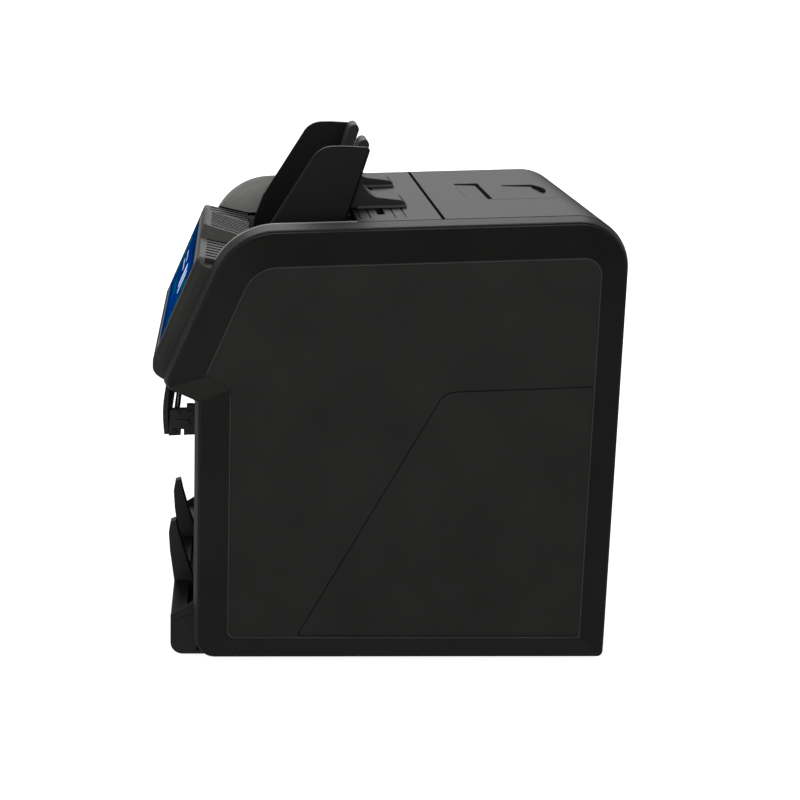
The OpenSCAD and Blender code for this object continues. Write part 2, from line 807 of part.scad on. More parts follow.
module main_board() {
    y = 124;
    color("#1f5a36") difference() {
        block([-60, y, 62], [104, y + 1.6, 196]);
        for (x = [-54, 98], z = [68, 190]) translate([x, y - 1, z])
            rotate([-90, 0, 0]) cylinder(r = 1.6, h = 4, $fn = 24);
    }
    color("#1b1b1c") {
        block([-20, y - 2.2, 120], [8, y, 148]);
        for (i = [0:3]) block([24 + 18 * i, y - 8, 172], [36 + 18 * i, y, 184]);
        block([-50, y - 6, 78], [10, y, 86]);
    }
}

module power_supply() {
    color("#9a9c9e") difference() {
        block([-50, 6, foot_drop + skin + 0.1], [58, 116, 50]);
        block([-48.4, 7.6, 9], [56.4, 114.4, 48.6]);
        for (i = [0:7], j = [0:4]) translate([-40 + 12 * i, 24 + 16 * j, 40])
            cylinder(r = 3, h = 20, $fn = 24);
    }
}

module power_inlet() {
    color("#151515") difference() {
        union() {
            block([68.2, 124, 19.2], [95.8, back_y + 3, 38.8]);
            block([66, back_y + 2, 17], [98, back_y + 4, 41]);
        }
        block([71, 129, 22], [93, back_y + 6, 36]);
    }
    color("silver") for (p = [[-6, 27], [0, 31], [6, 27]])
        block([82 + p.x - 1, 128, p.y - 2], [82 + p.x + 1, 143, p.y + 2]);
}

module power_switch() {
    color("#151515") translate([switch_at.x, back_y - 1, switch_at.y - 5.6]) difference() {
        linear_extrude(11.2) polygon([
            [-9.6, 3.6], [0, 2.6], [9.6, 3.6], [9.4, 0], [6, -5], [-6, -5], [-9.4, 0]]);
        translate([0, 0, -1]) cylinder(r = 1.55, h = 14, $fn = 24);
    }
}

module switch_frame() {
    z = switch_at.y;
    color("#1b1b1b") difference() {
        union() {
            block([switch_at.x - 10.9, 134, z - 6.9], [switch_at.x + 10.9, back_y + 2, z + 6.9]);
            block([switch_at.x - 12.5, back_y + 2, z - 8.5], [switch_at.x + 12.5, back_y + 3, z + 8.5]);
        }
        block([switch_at.x - 10.2, 136, z - 6], [switch_at.x + 10.2, back_y + 6, z + 6]);
    }
    translate([switch_at.x, back_y - 1, z - 6]) cylinder(r = 1.5, h = 12, $fn = 24);
}

module data_ports() {
    color("#b8babd") difference() {
        block([-89.6, 122, 22.4], [-58.4, back_y + 2, 35.6]);
        block([-87, 126, 24.5], [-72, back_y + 6, 33.5]);
        block([-69, 126, 25.5], [-61, back_y + 6, 32.5]);
    }
}

SCREW_PLACES = [for (x = [-112, 112], z = [14, 78, 138]) [x, z]];

module cover_screws() {
    color("silver") for (at = SCREW_PLACES) translate([at.x, 0, at.y]) rotate([-90, 0, 0]) {
        translate([0, 0, back_y - 4]) cylinder(r = 1.5, h = 6.5, $fn = 24);
        translate([0, 0, back_y + 2]) difference() {
            cylinder(r = 3, h = 1.8, $fn = 32);
            translate([-0.4, -2.4, 0.9]) cube([0.8, 4.8, 2]);
            translate([-2.4, -0.4, 0.9]) cube([4.8, 0.8, 2]);
        }
    }
}

module feet() {
    color("#111111") for (x = [-95, 95], y = [-100, 118]) translate([x, y, 0]) {
        cylinder(r = 9, h = foot_drop, $fn = 48);
        cylinder(r = 1.6, h = foot_drop + 4, $fn = 24);
    }
}

base_tray();
left_frame();
right_frame();
frame_rods();
left_side_cover();
right_side_cover();
left_service_panel();
right_service_panel();
top_cover();
rear_cover();
rear_cover_hinge_rod();
latch_tab();
latch_pin();
back_panel();
display_housing();
display_glass();
display_module();
feed_plate();
throat_wall();
left_guide();
right_guide();
left_note_rest();
right_note_rest();
left_rack();
right_rack();
rack_pinion();
feed_shaft();
feed_rollers();
feed_pulley();
retard_pad();
upper_shaft();
upper_rollers();
upper_pulley();
lower_shaft();
lower_rollers();
lower_pulley();
reject_shaft();
reject_wheels();
reject_pulley();
stacker_shaft();
stacker_wheels();
stacker_pulley();
drive_belt();
drive_motor();
motor_pulley();
image_sensor();
note_track();
reject_tray();
reject_stop();
reject_stop_pin();
stacker_plate();
stacker_fingers();
main_board();
power_supply();
power_inlet();
switch_frame();
power_switch();
data_ports();
cover_screws();
feet();
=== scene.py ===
"""Banknote counting machine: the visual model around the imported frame.

Sizes in this file are millimetres in the part's own frame and become metres when a mesh is made.
+X is the right-hand side, the display and the pockets face -Y, and the feet stand on Z = 0.
"""
import json
import math

import bmesh
import bpy
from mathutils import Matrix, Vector


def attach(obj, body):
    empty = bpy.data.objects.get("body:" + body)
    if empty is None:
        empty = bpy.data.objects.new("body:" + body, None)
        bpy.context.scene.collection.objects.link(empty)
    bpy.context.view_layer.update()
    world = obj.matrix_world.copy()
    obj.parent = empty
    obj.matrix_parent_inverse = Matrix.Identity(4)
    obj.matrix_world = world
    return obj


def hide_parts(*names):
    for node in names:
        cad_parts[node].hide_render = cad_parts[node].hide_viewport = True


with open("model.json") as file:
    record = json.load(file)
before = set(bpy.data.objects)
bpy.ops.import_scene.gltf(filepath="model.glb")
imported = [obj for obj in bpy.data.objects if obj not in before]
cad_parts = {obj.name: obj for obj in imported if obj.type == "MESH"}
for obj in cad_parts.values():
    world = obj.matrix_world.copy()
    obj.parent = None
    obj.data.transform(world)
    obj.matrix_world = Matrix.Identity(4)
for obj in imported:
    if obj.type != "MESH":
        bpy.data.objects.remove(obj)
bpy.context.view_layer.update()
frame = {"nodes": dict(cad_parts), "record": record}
NODES = frame["nodes"]
MM = 0.001
ROUND_SIDES = 48
# Cutters that open upwards reach this height, over the whole machine
CUT_TOP = 320.0


# ---------------------------------------------------------------- outlines

def left_normal(a, b):
    """Unit normal on the left of the edge from a to b."""
    dx, dy = b[0] - a[0], b[1] - a[1]
    length = math.hypot(dx, dy)
    return -dy / length, dx / length


def moved_corner(a, b, c, inset):
    """Corner b once the edges a-b and b-c have moved to their left by inset."""
    n1, n2 = left_normal(a, b), left_normal(b, c)
    share = inset / (1 + n1[0] * n2[0] + n1[1] * n2[1])
    return b[0] + share * (n1[0] + n2[0]), b[1] + share * (n1[1] + n2[1])


def corner_arc(a, b, c, radius, steps):
    """Points of the arc that rounds corner b, from the edge a-b to the edge b-c."""
    n1, n2 = left_normal(a, b), left_normal(b, c)
    d1, d2 = (n1[1], -n1[0]), (n2[1], -n2[0])
    turn = math.atan2(d1[0] * d2[1] - d1[1] * d2[0], d1[0] * d2[0] + d1[1] * d2[1])
    side = 1 if turn > 0 else -1
    back = radius * abs(math.tan(turn / 2))
    start = (b[0] - back * d1[0], b[1] - back * d1[1])
    spoke = (side * d1[1] * radius, -side * d1[0] * radius)
    centre = (start[0] - spoke[0], start[1] - spoke[1])
    points = []
    for i in range(steps + 1):
        cos, sin = math.cos(turn * i / steps), math.sin(turn * i / steps)
        points.append((centre[0] + spoke[0] * cos - spoke[1] * sin,
                       centre[1] + spoke[0] * sin + spoke[1] * cos))
    return points


def outline(corners, inset=0.0, steps=6, least=0.05):
    """Closed anticlockwise outline of corners (u, v[, radius[, least radius]]), moved inwards by inset.

    Hollow corners keep their radius, so the ridge they leave on a bevel stays sharp.
    """
    count = len(corners)
    flat = [(c[0], c[1]) for c in corners]
    moved = [moved_corner(flat[i - 1], flat[i], flat[(i + 1) % count], inset)
             for i in range(count)]
    points = []
    for i in range(count):
        a, b, c = moved[i - 1], moved[i], moved[(i + 1) % count]
        radius = corners[i][2] if len(corners[i]) > 2 else 0.0
        if radius == 0.0:
            points.append(b)
            continue
        hollow = (b[0] - a[0]) * (c[1] - b[1]) - (b[1] - a[1]) * (c[0] - b[0]) < 0
        floor = corners[i][3] if len(corners[i]) > 3 else least
        radius = max(radius if hollow else radius - inset, floor)
        points += corner_arc(a, b, c, radius, steps)
    return points


def both_sides(near, far):
    """Stretch from near to far on the left and on the right, each as (lower x, higher x)."""
    return [(-far, -near), (near, far)]


def place(axis, u, v, w):
    """Point (u, v) of an outline at the height w along its axis."""
    return {"x": (w, u, v), "y": (u, w, v), "z": (u, v, w)}[axis]


# ---------------------------------------------------------------- meshes

def add_ring(bm, axis, points, w):
    return [bm.verts.new(place(axis, p[0], p[1], w)) for p in points]


def turned_ring(bm, axis, at, w, radius, sides):
    """Ring about the line along an axis through at, at the height w."""
    points = []
    for i in range(sides):
        turn = 2 * math.pi * i / sides
        points.append((at[0] + radius * math.cos(turn), at[1] + radius * math.sin(turn)))
    return add_ring(bm, axis, points, w)


def join_rings(bm, one, two):
    count = len(one)
    for i in range(count):
        j = (i + 1) % count
        bm.faces.new((one[i], one[j], two[j], two[i]))


def fill(bm, rings):
    """Closes the flat area inside the first ring and outside the others."""
    if len(rings) == 1:
        bm.faces.new(rings[0])
        return
    edges = []
    for ring in rings:
        for i, vert in enumerate(ring):
            edges.append(bm.edges.get((vert, ring[(i + 1) % len(ring)]))
                         or bm.edges.new((vert, ring[(i + 1) % len(ring)])))
    bmesh.ops.triangle_fill(bm, edges=edges, use_beauty=True)


def make_object(bm, name):
    """Finished object from a bmesh in millimetres."""
    bmesh.ops.recalc_face_normals(bm, faces=bm.faces)
    bmesh.ops.scale(bm, vec=(MM, MM, MM), verts=bm.verts)
    mesh = bpy.data.meshes.new(name)
    bm.to_mesh(mesh)
    bm.free()
    piece = bpy.data.objects.new(name, mesh)
    bpy.context.scene.collection.objects.link(piece)
    return piece


def prism(name, axis, lo, hi, shape, holes=(), edge=0.0, edge_lo=None, rounding=3, steps=6):
    """Prism of an outline with holes, with its two rims rounded by edge (edge_lo at the lower)."""
    edge_lo = edge if edge_lo is None else edge_lo
    levels = []
    for k in range(rounding + 1 if edge_lo else 1):
        t = math.radians(90 * k / rounding) if edge_lo else math.radians(90)
        levels.append((edge_lo * (1 - math.sin(t)), lo + edge_lo * (1 - math.cos(t)) if edge_lo else lo))
    for k in range(rounding if edge else 0, -1, -1):
        t = math.radians(90 * k / rounding) if edge else math.radians(90)
        levels.append((edge * (1 - math.sin(t)), hi - edge * (1 - math.cos(t)) if edge else hi))
    bm = bmesh.new()
    first, last = [], []
    for sign, corners in [(1, shape)] + [(-1, h) for h in holes]:
        rings = [add_ring(bm, axis, outline(corners, sign * inset, steps), w) for inset, w in levels]
        for one, two in zip(rings, rings[1:]):
            join_rings(bm, one, two)
        first.append(rings[0])
        last.append(rings[-1])
    fill(bm, first)
    fill(bm, last)
    return make_object(bm, name)


def block(name, lo, hi, edge=0.0):
    """Box from corner lo to corner hi with its upright edges and rims rounded."""
    shape = [(lo[0], lo[1], edge), (hi[0], lo[1], edge), (hi[0], hi[1], edge), (lo[0], hi[1], edge)]
    return prism(name, "z", lo[2], hi[2], shape, edge=edge)


def lathe(name, at, profile, sides=64):
    """Closed profile of points (x, radius) turned about the line along X through (y, z)."""
    bm = bmesh.new()
    rings = [turned_ring(bm, "x", at, x, radius, sides) for x, radius in profile]
    for one, two in zip(rings, rings[1:] + rings[:1]):
        join_rings(bm, one, two)
    return make_object(bm, name)


def rod(name, at, radius, x0, x1, edge=0.3):
    """Round bar along X through (y, z) with chamfered ends."""
    bm = bmesh.new()
    profile = ((x0, radius - edge), (x0 + edge, radius), (x1 - edge, radius), (x1, radius - edge))
    rings = [turned_ring(bm, "x", at, x, r, ROUND_SIDES) for x, r in profile]
    for one, two in zip(rings, rings[1:]):
        join_rings(bm, one, two)
    bm.faces.new(rings[0])
    bm.faces.new(rings[-1])
    return make_object(bm, name)


def evaluated(piece):
    """Bakes the modifiers of a piece into its mesh."""
    graph = bpy.context.evaluated_depsgraph_get()
    mesh = bpy.data.meshes.new_from_object(piece.evaluated_get(graph))
    piece.modifiers.clear()
    piece.data = mesh


def combine(piece, tools, operation):
    for tool in tools:
        modifier = piece.modifiers.new("combine", "BOOLEAN")
        modifier.operation = operation
        modifier.solver = "EXACT"
        modifier.object = tool
        evaluated(piece)
        bpy.data.objects.remove(tool)
    return piece


def cut(piece, *tools):
    return combine(piece, tools, "DIFFERENCE")


def fuse(piece, *tools):
    return combine(piece, tools, "UNION")


def merged(name, pieces):
    """One piece out of several that touch or stand apart."""
    bm = bmesh.new()
    for piece in pieces:
        bm.from_mesh(piece.data)
        bpy.data.objects.remove(piece)
    mesh = bpy.data.meshes.new(name)
    bm.to_mesh(mesh)
    bm.free()
    whole = bpy.data.objects.new(name, mesh)
    bpy.context.scene.collection.objects.link(whole)
    return whole


def mirrored(piece, name):
    """Copy of a piece on the other side of X = 0."""
    copy = bpy.data.objects.new(name, piece.data.copy())
    bm = bmesh.new()
    bm.from_mesh(copy.data)
    bmesh.ops.scale(bm, vec=(-1, 1, 1), verts=bm.verts)
    bmesh.ops.reverse_faces(bm, faces=bm.faces)
    bm.to_mesh(copy.data)
    bm.free()
    bpy.context.scene.collection.objects.link(copy)
    return copy


def soften(piece, width, segments=2, angle=34.0):
    """Tidies the mesh, rounds its sharp edges and leaves clean shading."""
    bm = bmesh.new()
    bm.from_mesh(piece.data)
    bmesh.ops.remove_doubles(bm, verts=bm.verts, dist=2e-6)
    bmesh.ops.dissolve_limit(bm, angle_limit=math.radians(0.4), verts=bm.verts, edges=bm.edges)
    bm.to_mesh(piece.data)
    bm.free()
    modifier = piece.modifiers.new("edges", "BEVEL")
    modifier.width = width * MM
    modifier.segments = segments
    modifier.limit_method = "ANGLE"
    modifier.angle_limit = math.radians(angle)
    modifier.miter_outer = "MITER_ARC"
    evaluated(piece)
    return piece


def shade(piece, angle=32.0):
    """Smooth shading that stays crisp across edges sharper than angle."""
    bm = bmesh.new()
    bm.from_mesh(piece.data)
    for face in bm.faces:
        face.smooth = True
    for edge in bm.edges:
        flat = len(edge.link_faces) == 2
        edge.smooth = flat and edge.calc_face_angle(0.0) < math.radians(angle)
    bm.to_mesh(piece.data)
    bm.free()
    modifier = piece.modifiers.new("shading", "WEIGHTED_NORMAL")
    modifier.keep_sharp = True
    modifier.weight = 80
    return piece


SLOT_OF = {s["node"]: s["material_slot"] for s in frame["record"]["subparts"]}


def hand_in(piece, body, material, nodes=(), angle=32.0):
    """Shades a piece, gives it its material and sets it on its body."""
    shade(piece, angle)
    piece.data.materials.clear()
    piece.data.materials.append(material)
    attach(piece, body)
    if nodes:
        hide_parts(*nodes)
    return piece


def from_node(node, name, width, segments=2):
    """Copy of a CAD node's shape with softened edges."""
    piece = bpy.data.objects.new(name, NODES[node].data.copy())
    bpy.context.scene.collection.objects.link(piece)
    return soften(piece, width, segments)


# ---------------------------------------------------------------- materials

def nodes_of(name):
    material = bpy.data.materials.new(name)
    material.use_nodes = True
    tree = material.node_tree
    shader = tree.nodes["Principled BSDF"]
    coords = tree.nodes.new("ShaderNodeTexCoord")
    return material, tree, shader, coords.outputs["Object"]


def noise(tree, coords, scale, detail=2.0, stretch=None):
    """Noise value, with scale in cells per metre; stretch scales the axes first."""
    if stretch is not None:
        mapping = tree.nodes.new("ShaderNodeMapping")
        mapping.inputs["Scale"].default_value = stretch
        tree.links.new(coords, mapping.inputs["Vector"])
        coords = mapping.outputs["Vector"]
    texture = tree.nodes.new("ShaderNodeTexNoise")
    texture.inputs["Scale"].default_value = scale
    texture.inputs["Detail"].default_value = detail
    tree.links.new(coords, texture.inputs["Vector"])
    return texture.outputs["Fac"]


def ramp(tree, value, stops):
    """Colour ramp through stops (position, colour)."""
    node = tree.nodes.new("ShaderNodeValToRGB")
    elements = node.color_ramp.elements
    while len(elements) < len(stops):
        elements.new(0.5)
    for element, (position, colour) in zip(elements, stops):
        element.position = position
        element.color = (*colour, 1.0)
    tree.links.new(value, node.inputs["Fac"])
    return node.outputs["Color"]


def spread(tree, value, low, high):
    node = tree.nodes.new("ShaderNodeMapRange")
    node.inputs["From Min"].default_value = 0.3
    node.inputs["From Max"].default_value = 0.7
    node.inputs["To Min"].default_value = low
    node.inputs["To Max"].default_value = high
    tree.links.new(value, node.inputs["Value"])
    return node.outputs["Result"]


def add_bump(tree, shader, height, strength, distance):
    node = tree.nodes.new("ShaderNodeBump")
    node.inputs["Strength"].default_value = strength
    node.inputs["Distance"].default_value = distance
    tree.links.new(height, node.inputs["Height"])
    tree.links.new(node.outputs["Normal"], shader.inputs["Normal"])


def tinted(colour, share):
    return tuple(c * share for c in colour)


def moulded(name, colour, roughness=0.55, specular=0.5, grain=2600.0, bump=0.25):
    """Injection-moulded plastic with a fine eroded grain and slight clouding."""
    material, tree, shader, coords = nodes_of(name)
    cloud = noise(tree, coords, 26.0, 3.0)
    tree.links.new(ramp(tree, cloud, [(0.3, tinted(colour, 0.86)), (0.7, tinted(colour, 1.14))]),
                   shader.inputs["Base Color"])
    fine = noise(tree, coords, grain, 2.0)
    tree.links.new(spread(tree, fine, roughness - 0.05, roughness + 0.06), shader.inputs["Roughness"])
    shader.inputs["Specular IOR Level"].default_value = specular
    add_bump(tree, shader, fine, bump, 0.00012)
    return material


def brushed(name, colour, roughness=0.28, along=(3.0, 90.0, 90.0)):
    """Ground steel with fine marks along X."""
    material, tree, shader, coords = nodes_of(name)
    marks = noise(tree, coords, 40.0, 3.0, along)
    tree.links.new(ramp(tree, marks, [(0.3, tinted(colour, 0.82)), (0.7, colour)]),
                   shader.inputs["Base Color"])
    tree.links.new(spread(tree, marks, roughness - 0.06, roughness + 0.08), shader.inputs["Roughness"])
    shader.inputs["Metallic"].default_value = 1.0
    add_bump(tree, shader, marks, 0.12, 0.00005)
    return material


def rubber(name, colour):
    """Ground rubber with a dusty bloom."""
    material, tree, shader, coords = nodes_of(name)
    bloom = noise(tree, coords, 120.0, 4.0)
    tree.links.new(ramp(tree, bloom, [(0.35, colour), (0.75, tuple(c * 1.3 + 0.006 for c in colour))]),
                   shader.inputs["Base Color"])
    fine = noise(tree, coords, 3200.0, 2.0)
    tree.links.new(spread(tree, fine, 0.72, 0.86), shader.inputs["Roughness"])
    shader.inputs["Specular IOR Level"].default_value = 0.35
    add_bump(tree, shader, fine, 0.35, 0.0001)
    return material


def circuit_board(name):
    """Green solder mask with buried copper tracks."""
    material, tree, shader, coords = nodes_of(name)
    bricks = tree.nodes.new("ShaderNodeTexBrick")
    mapping = tree.nodes.new("ShaderNodeMapping")
    mapping.inputs["Rotation"].default_value = (math.radians(90), 0, 0)
    tree.links.new(coords, mapping.inputs["Vector"])
    tree.links.new(mapping.outputs["Vector"], bricks.inputs["Vector"])
    bricks.inputs["Scale"].default_value = 260.0
    bricks.inputs["Mortar Size"].default_value = 0.035
    bricks.inputs["Color1"].default_value = (0.010, 0.085, 0.035, 1)
    bricks.inputs["Color2"].default_value = (0.012, 0.105, 0.042, 1)
    bricks.inputs["Mortar"].default_value = (0.03, 0.19, 0.08, 1)
    tree.links.new(bricks.outputs["Color"], shader.inputs["Base Color"])
    fine = noise(tree, coords, 900.0, 2.0)
    tree.links.new(spread(tree, fine, 0.28, 0.4), shader.inputs["Roughness"])
    add_bump(tree, shader, bricks.outputs["Fac"], 0.2, 0.00008)
    return material


def black_glass(name):
    """Smoked cover glass, printed black from behind."""
    material, tree, shader, coords = nodes_of(name)
    haze = noise(tree, coords, 14.0, 2.0)
    tree.links.new(ramp(tree, haze, [(0.3, (0.0035, 0.004, 0.005)), (0.7, (0.006, 0.0065, 0.008))]),
                   shader.inputs["Base Color"])
    tree.links.new(spread(tree, haze, 0.05, 0.1), shader.inputs["Roughness"])
    shader.inputs["Specular IOR Level"].default_value = 0.12
    return material


def lit(name, low, high, strength, scale=9.0):
    """Lit area of the screen, its colour drifting from low to high."""
    material, tree, shader, coords = nodes_of(name)
    drift = noise(tree, coords, scale, 1.0)
    colour = ramp(tree, drift, [(0.35, low), (0.65, high)])
    tree.links.new(colour, shader.inputs["Base Color"])
    tree.links.new(colour, shader.inputs["Emission Color"])
    shader.inputs["Emission Strength"].default_value = strength
    shader.inputs["Roughness"].default_value = 0.35
    shader.inputs["Specular IOR Level"].default_value = 0.0
    return material


BLACK = moulded("black_plastic", (0.0120, 0.0118, 0.0108), roughness=0.55, specular=0.22)
# Darker copy of the black plastic for the cover bevels: painted shade
BEVEL = moulded("shaded_bevel_plastic", (0.0082, 0.0080, 0.0074), roughness=0.6, specular=0.16)
# Paler, smoother copy of the black plastic for the sloping rim band: the paleness is painted light
LIT_BAND = moulded("lit_band_plastic", (0.030, 0.0298, 0.0282), roughness=0.45, specular=0.34)
# Pale plastics of the rim bead and the face bead: painted highlight lines along the cover's edges
RIM_HIGHLIGHT = moulded("rim_highlight_plastic", (0.075, 0.075, 0.072), roughness=0.4, specular=0.4)
FACE_HIGHLIGHT = moulded("face_highlight_plastic", (0.034, 0.034, 0.032), roughness=0.45, specular=0.3)
# Pale grey for the up-facing faces of the display top and the runners of the note rests: painted light and
# painted highlight
PAINTED_LIGHT_GREY = moulded("painted_light_grey_plastic", (0.105, 0.1030, 0.0970), roughness=0.52, specular=0.26)
# Paler copy of the black plastic for the parts on top of the machine: the extra paleness is painted light on
# the top
TOP = moulded("lit_top_plastic", (0.0180, 0.0178, 0.0162), roughness=0.50, specular=0.30)
# Grey of the hopper's side walls, raised well above their own grey to make up for the shade of the guides:
# partly painted light
GREY_AND_LIT_WALL = moulded("grey_and_lit_wall_plastic", (0.42, 0.42, 0.40), roughness=0.5, specular=0.3)
FIN = moulded("guide_plastic", (0.0038, 0.0038, 0.0037), roughness=0.48, specular=0.2,
              grain=3600.0, bump=0.15)
POCKET = moulded("pocket_plastic", (0.014, 0.0138, 0.0130), roughness=0.5, specular=0.4)
GLOSS = moulded("gloss_black_plastic", (0.006, 0.006, 0.006), roughness=0.22, specular=0.5, bump=0.05)
GREY = moulded("grey_plastic", (0.2, 0.2, 0.2), roughness=0.5)
WHITE = moulded("white_plastic", (0.72, 0.72, 0.68), roughness=0.45)
STEEL = brushed("ground_steel", (0.62, 0.62, 0.61))
PLATED = brushed("plated_steel", (0.5, 0.51, 0.53), roughness=0.38, along=(30.0, 30.0, 30.0))
ROLLER = rubber("roller_rubber", (0.10, 0.055, 0.025))
DARK_RUBBER = rubber("dark_rubber", (0.012, 0.012, 0.012))
BOARD = circuit_board("solder_mask")
GLASS = black_glass("cover_glass")
FINISH = {
    "black_textured": BLACK, "charcoal_top": TOP, "guide_black": FIN, "glossy_glass": GLASS,
    "screen": GLOSS, "pocket_black": POCKET, "steel": STEEL, "pulley_grey": GREY,
    "pinion_white": WHITE, "roller_rubber": ROLLER, "belt_rubber": DARK_RUBBER,
    "motor_steel": PLATED, "board_green": BOARD, "black_gloss": GLOSS, "port_metal": PLATED,
}

# ---------------------------------------------------------------- side covers

# The cover's skin starts at the seam; the shells between the two covers end at SHELL_X
SEAM_X, SHELL_X, FACE_X = 121.0, 120.6, 149.12
RIM_FRONT, RIM_REAR, RIM_LOW, REAR_TOP_Z = -119.5, 147.0, 6.0, 295.6
RIM = [(RIM_FRONT, RIM_LOW, 11.6, 5.0), (RIM_REAR, RIM_LOW, 3.5), (RIM_REAR, REAR_TOP_Z, 30.5),
       (-99.3, 283.3, 42.5), (-141.2, 185.9, 6.5), (RIM_FRONT, 176.3, 2)]
RIM_STEPS, RIM_LEAST = 16, 1.2
# Layers from the seam to the face as (x, inset): band, groove, bead, strip, bevel, lip
RIM_LAYERS = [
    (SEAM_X, -1.9), (121.12, -2.35), (121.6, -2.62), (130.8, -0.28), (131.15, -0.02),
    (131.25, 0.7), (131.75, 0.7), (131.85, 0.05), (132.15, 0.0), (132.5, 0.1), (132.72, 0.32),
    (132.85, 0.85), (133.3, 0.9), (134.7, 1.15), (135.1, 1.5), (148.55, 19.0), (148.75, 19.2),
    (149.38, 19.45), (149.49, 19.8), (149.46, 20.25), (149.15, 20.6), (FACE_X, 21.0)]
BAND_X, BEVEL_X = (121.5, 131.0), (135.0, 148.8)
# The notch under the display lies above this height, and its bevel keeps the face's plastic, without the
# painted shade of the other bevels
NOTCH_Z = 160.0
INNER_LAYERS = [(146.9, 21.0), (134.0, 3.6), (132.0, 2.6), (SEAM_X, 0.3)]
# Rings set into the mouldings, as (name, inner x, outer x, outer inset, inner inset, material, slot); the
# two beads' pale plastic is a painted highlight line
RIM_RINGS = [("seam_gasket", 131.0, 131.5, -0.34, 1.6, DARK_RUBBER, "belt_rubber"),
             ("rim_highlight_bead", 131.6, 132.2, -0.12, 0.7, RIM_HIGHLIGHT, "black_textured"),
             ("face_highlight_bead", 149.0, 149.5, 19.62, 20.12, FACE_HIGHLIGHT, "black_textured")]
# Seat of the service panel, with how far its corners in y and z stand off the panel's edge
RECESS_X = 148.0
SERVICE = [(-56, 27, 1.5), (126.6, 27, 3), (126.6, 193.4, 1.5), (33, 188.6, 12)]
SERVICE_GAPS = [(0.5, 0.05), (-0.05, 0.05), (-0.05, -0.4), (0.22, -0.35)]
BOSSES = ((-90, 60), (116, 40), (100, 245), (-30, 240))


def rim_outline(inset):
    return outline(RIM, inset, RIM_STEPS, RIM_LEAST)


def side_shell(name):
    """Cover shell with its rim mouldings and the seat of the service panel."""
    bm = bmesh.new()
    rings = [add_ring(bm, "x", rim_outline(inset), x) for x, inset in RIM_LAYERS + INNER_LAYERS]
    last = len(RIM_LAYERS) - 1
    for k, (one, two) in enumerate(zip(rings, rings[1:])):
        if k != last:
            join_rings(bm, one, two)
    join_rings(bm, rings[-1], rings[0])
    seat = [add_ring(bm, "x", outline(SERVICE, inset, 10), x)
            for x, inset in ((FACE_X, -0.25), (FACE_X - 0.25, 0.0), (RECESS_X, 0.0))]
    for one, two in zip(seat, seat[1:]):
        join_rings(bm, one, two)
    fill(bm, [rings[last], seat[0]])
    fill(bm, [seat[-1]])
    fill(bm, [rings[last + 1]])
    return make_object(bm, name)


def paint_cover_shade_and_light(cover):
    """Gives the bevels a darker, rougher copy of the plastic, which is painted shade, and the sloping band a
    paler, smoother one, whose paleness is painted light.
    """
    cover.data.materials.append(BEVEL)
    cover.data.materials.append(LIT_BAND)
    for face in cover.data.polygons:
        x, lean = abs(face.center.x) / MM, abs(face.normal.x)
        notch = face.normal.z < -0.3 and face.center.z / MM > NOTCH_Z
        # Bevel faces take the darker plastic (painted shade), band faces the paler one (painted light)
        if BEVEL_X[0] < x < BEVEL_X[1] and 0.3 < lean < 0.93 and not notch:
            face.material_index = 1
        elif BAND_X[0] < x < BAND_X[1] and 0.05 < lean < 0.6:
            face.material_index = 2


def build_shells():
    shell = side_shell("right_cover_shell")
    bosses = [lathe(f"boss_{i}", at, [(SHELL_X, 1.6), (SHELL_X, 4), (147.0, 4), (147.0, 1.6)], 32)
              for i, at in enumerate(BOSSES)]
    shell = merged("right_cover_shell", [shell] + bosses)
    other = mirrored(shell, "left_cover_shell")
    for cover, node in ((shell, "right_side_cover"), (other, "left_side_cover")):
        hand_in(cover, "chassis", BLACK, [node], angle=28)
        paint_cover_shade_and_light(cover)


def build_rim_rings():
    """Gasket and beads, the beads in pale plastic as painted highlight lines; the bead of the face stops
    short of the notch under the display.
    """
    for name, x0, x1, out, deep, material, slot in RIM_RINGS:
        right = prism("right_" + name, "x", x0, x1, rim_outline(out), holes=[rim_outline(deep)])
        if name == "face_highlight_bead":
            cut(right, block("notch_clearance", (148, -116.5, 184), (151, -98.2, 198.4)))
        left = mirrored(right, "left_" + name)
        hand_in(right, "chassis", material)
        hand_in(left, "chassis", material)


def build_service_panels():
    shape = [(y + dy, z + dz, radius) for (y, z, radius), (dy, dz) in zip(SERVICE, SERVICE_GAPS)]
    panel = prism("right_panel_skin", "x", RECESS_X, FACE_X - 0.1, shape, edge=0.45, edge_lo=0.0, steps=10)
    other = mirrored(panel, "left_panel_skin")
    hand_in(panel, "chassis", BLACK, ["right_service_panel"])
    hand_in(other, "chassis", BLACK, ["left_service_panel"])


def build_side_covers():
    build_shells()
    build_rim_rings()
    build_service_panels()


# ---------------------------------------------------------------- top of the machine

# The top's front edge as (y, z), and its rise from there to the rear of the rim
TOP_START = (-93.3, 286.4)
TOP_SLOPE = 12.0 / (RIM_REAR - TOP_START[0])
SKIN = 2.6


def top_z(y):
    """Height of the outer surface of the deck and the rear cover."""
    return TOP_START[1] + (y - TOP_START[0]) * TOP_SLOPE


SLOT_FRONT, SLOT_REAR = 30.4, 32.4
DECK_FRONT = -22.0
DECK_GROOVES = (-20.1, -13.5, 2.1, 8.9)
# Front and rear of the stems that join the note rests to their racks
STEM = (-7.4, -3.6)
HINGE = (145.6, 150.0)
BARREL_STARTS, BARREL_LENGTH = (-90, 30), 60
LATCH = (59.0, top_z(59) - SKIN)
REAR_BACK, REAR_R, REAR_STEPS = 149.8, 33.3, 22
TOP_TILT = 2.85


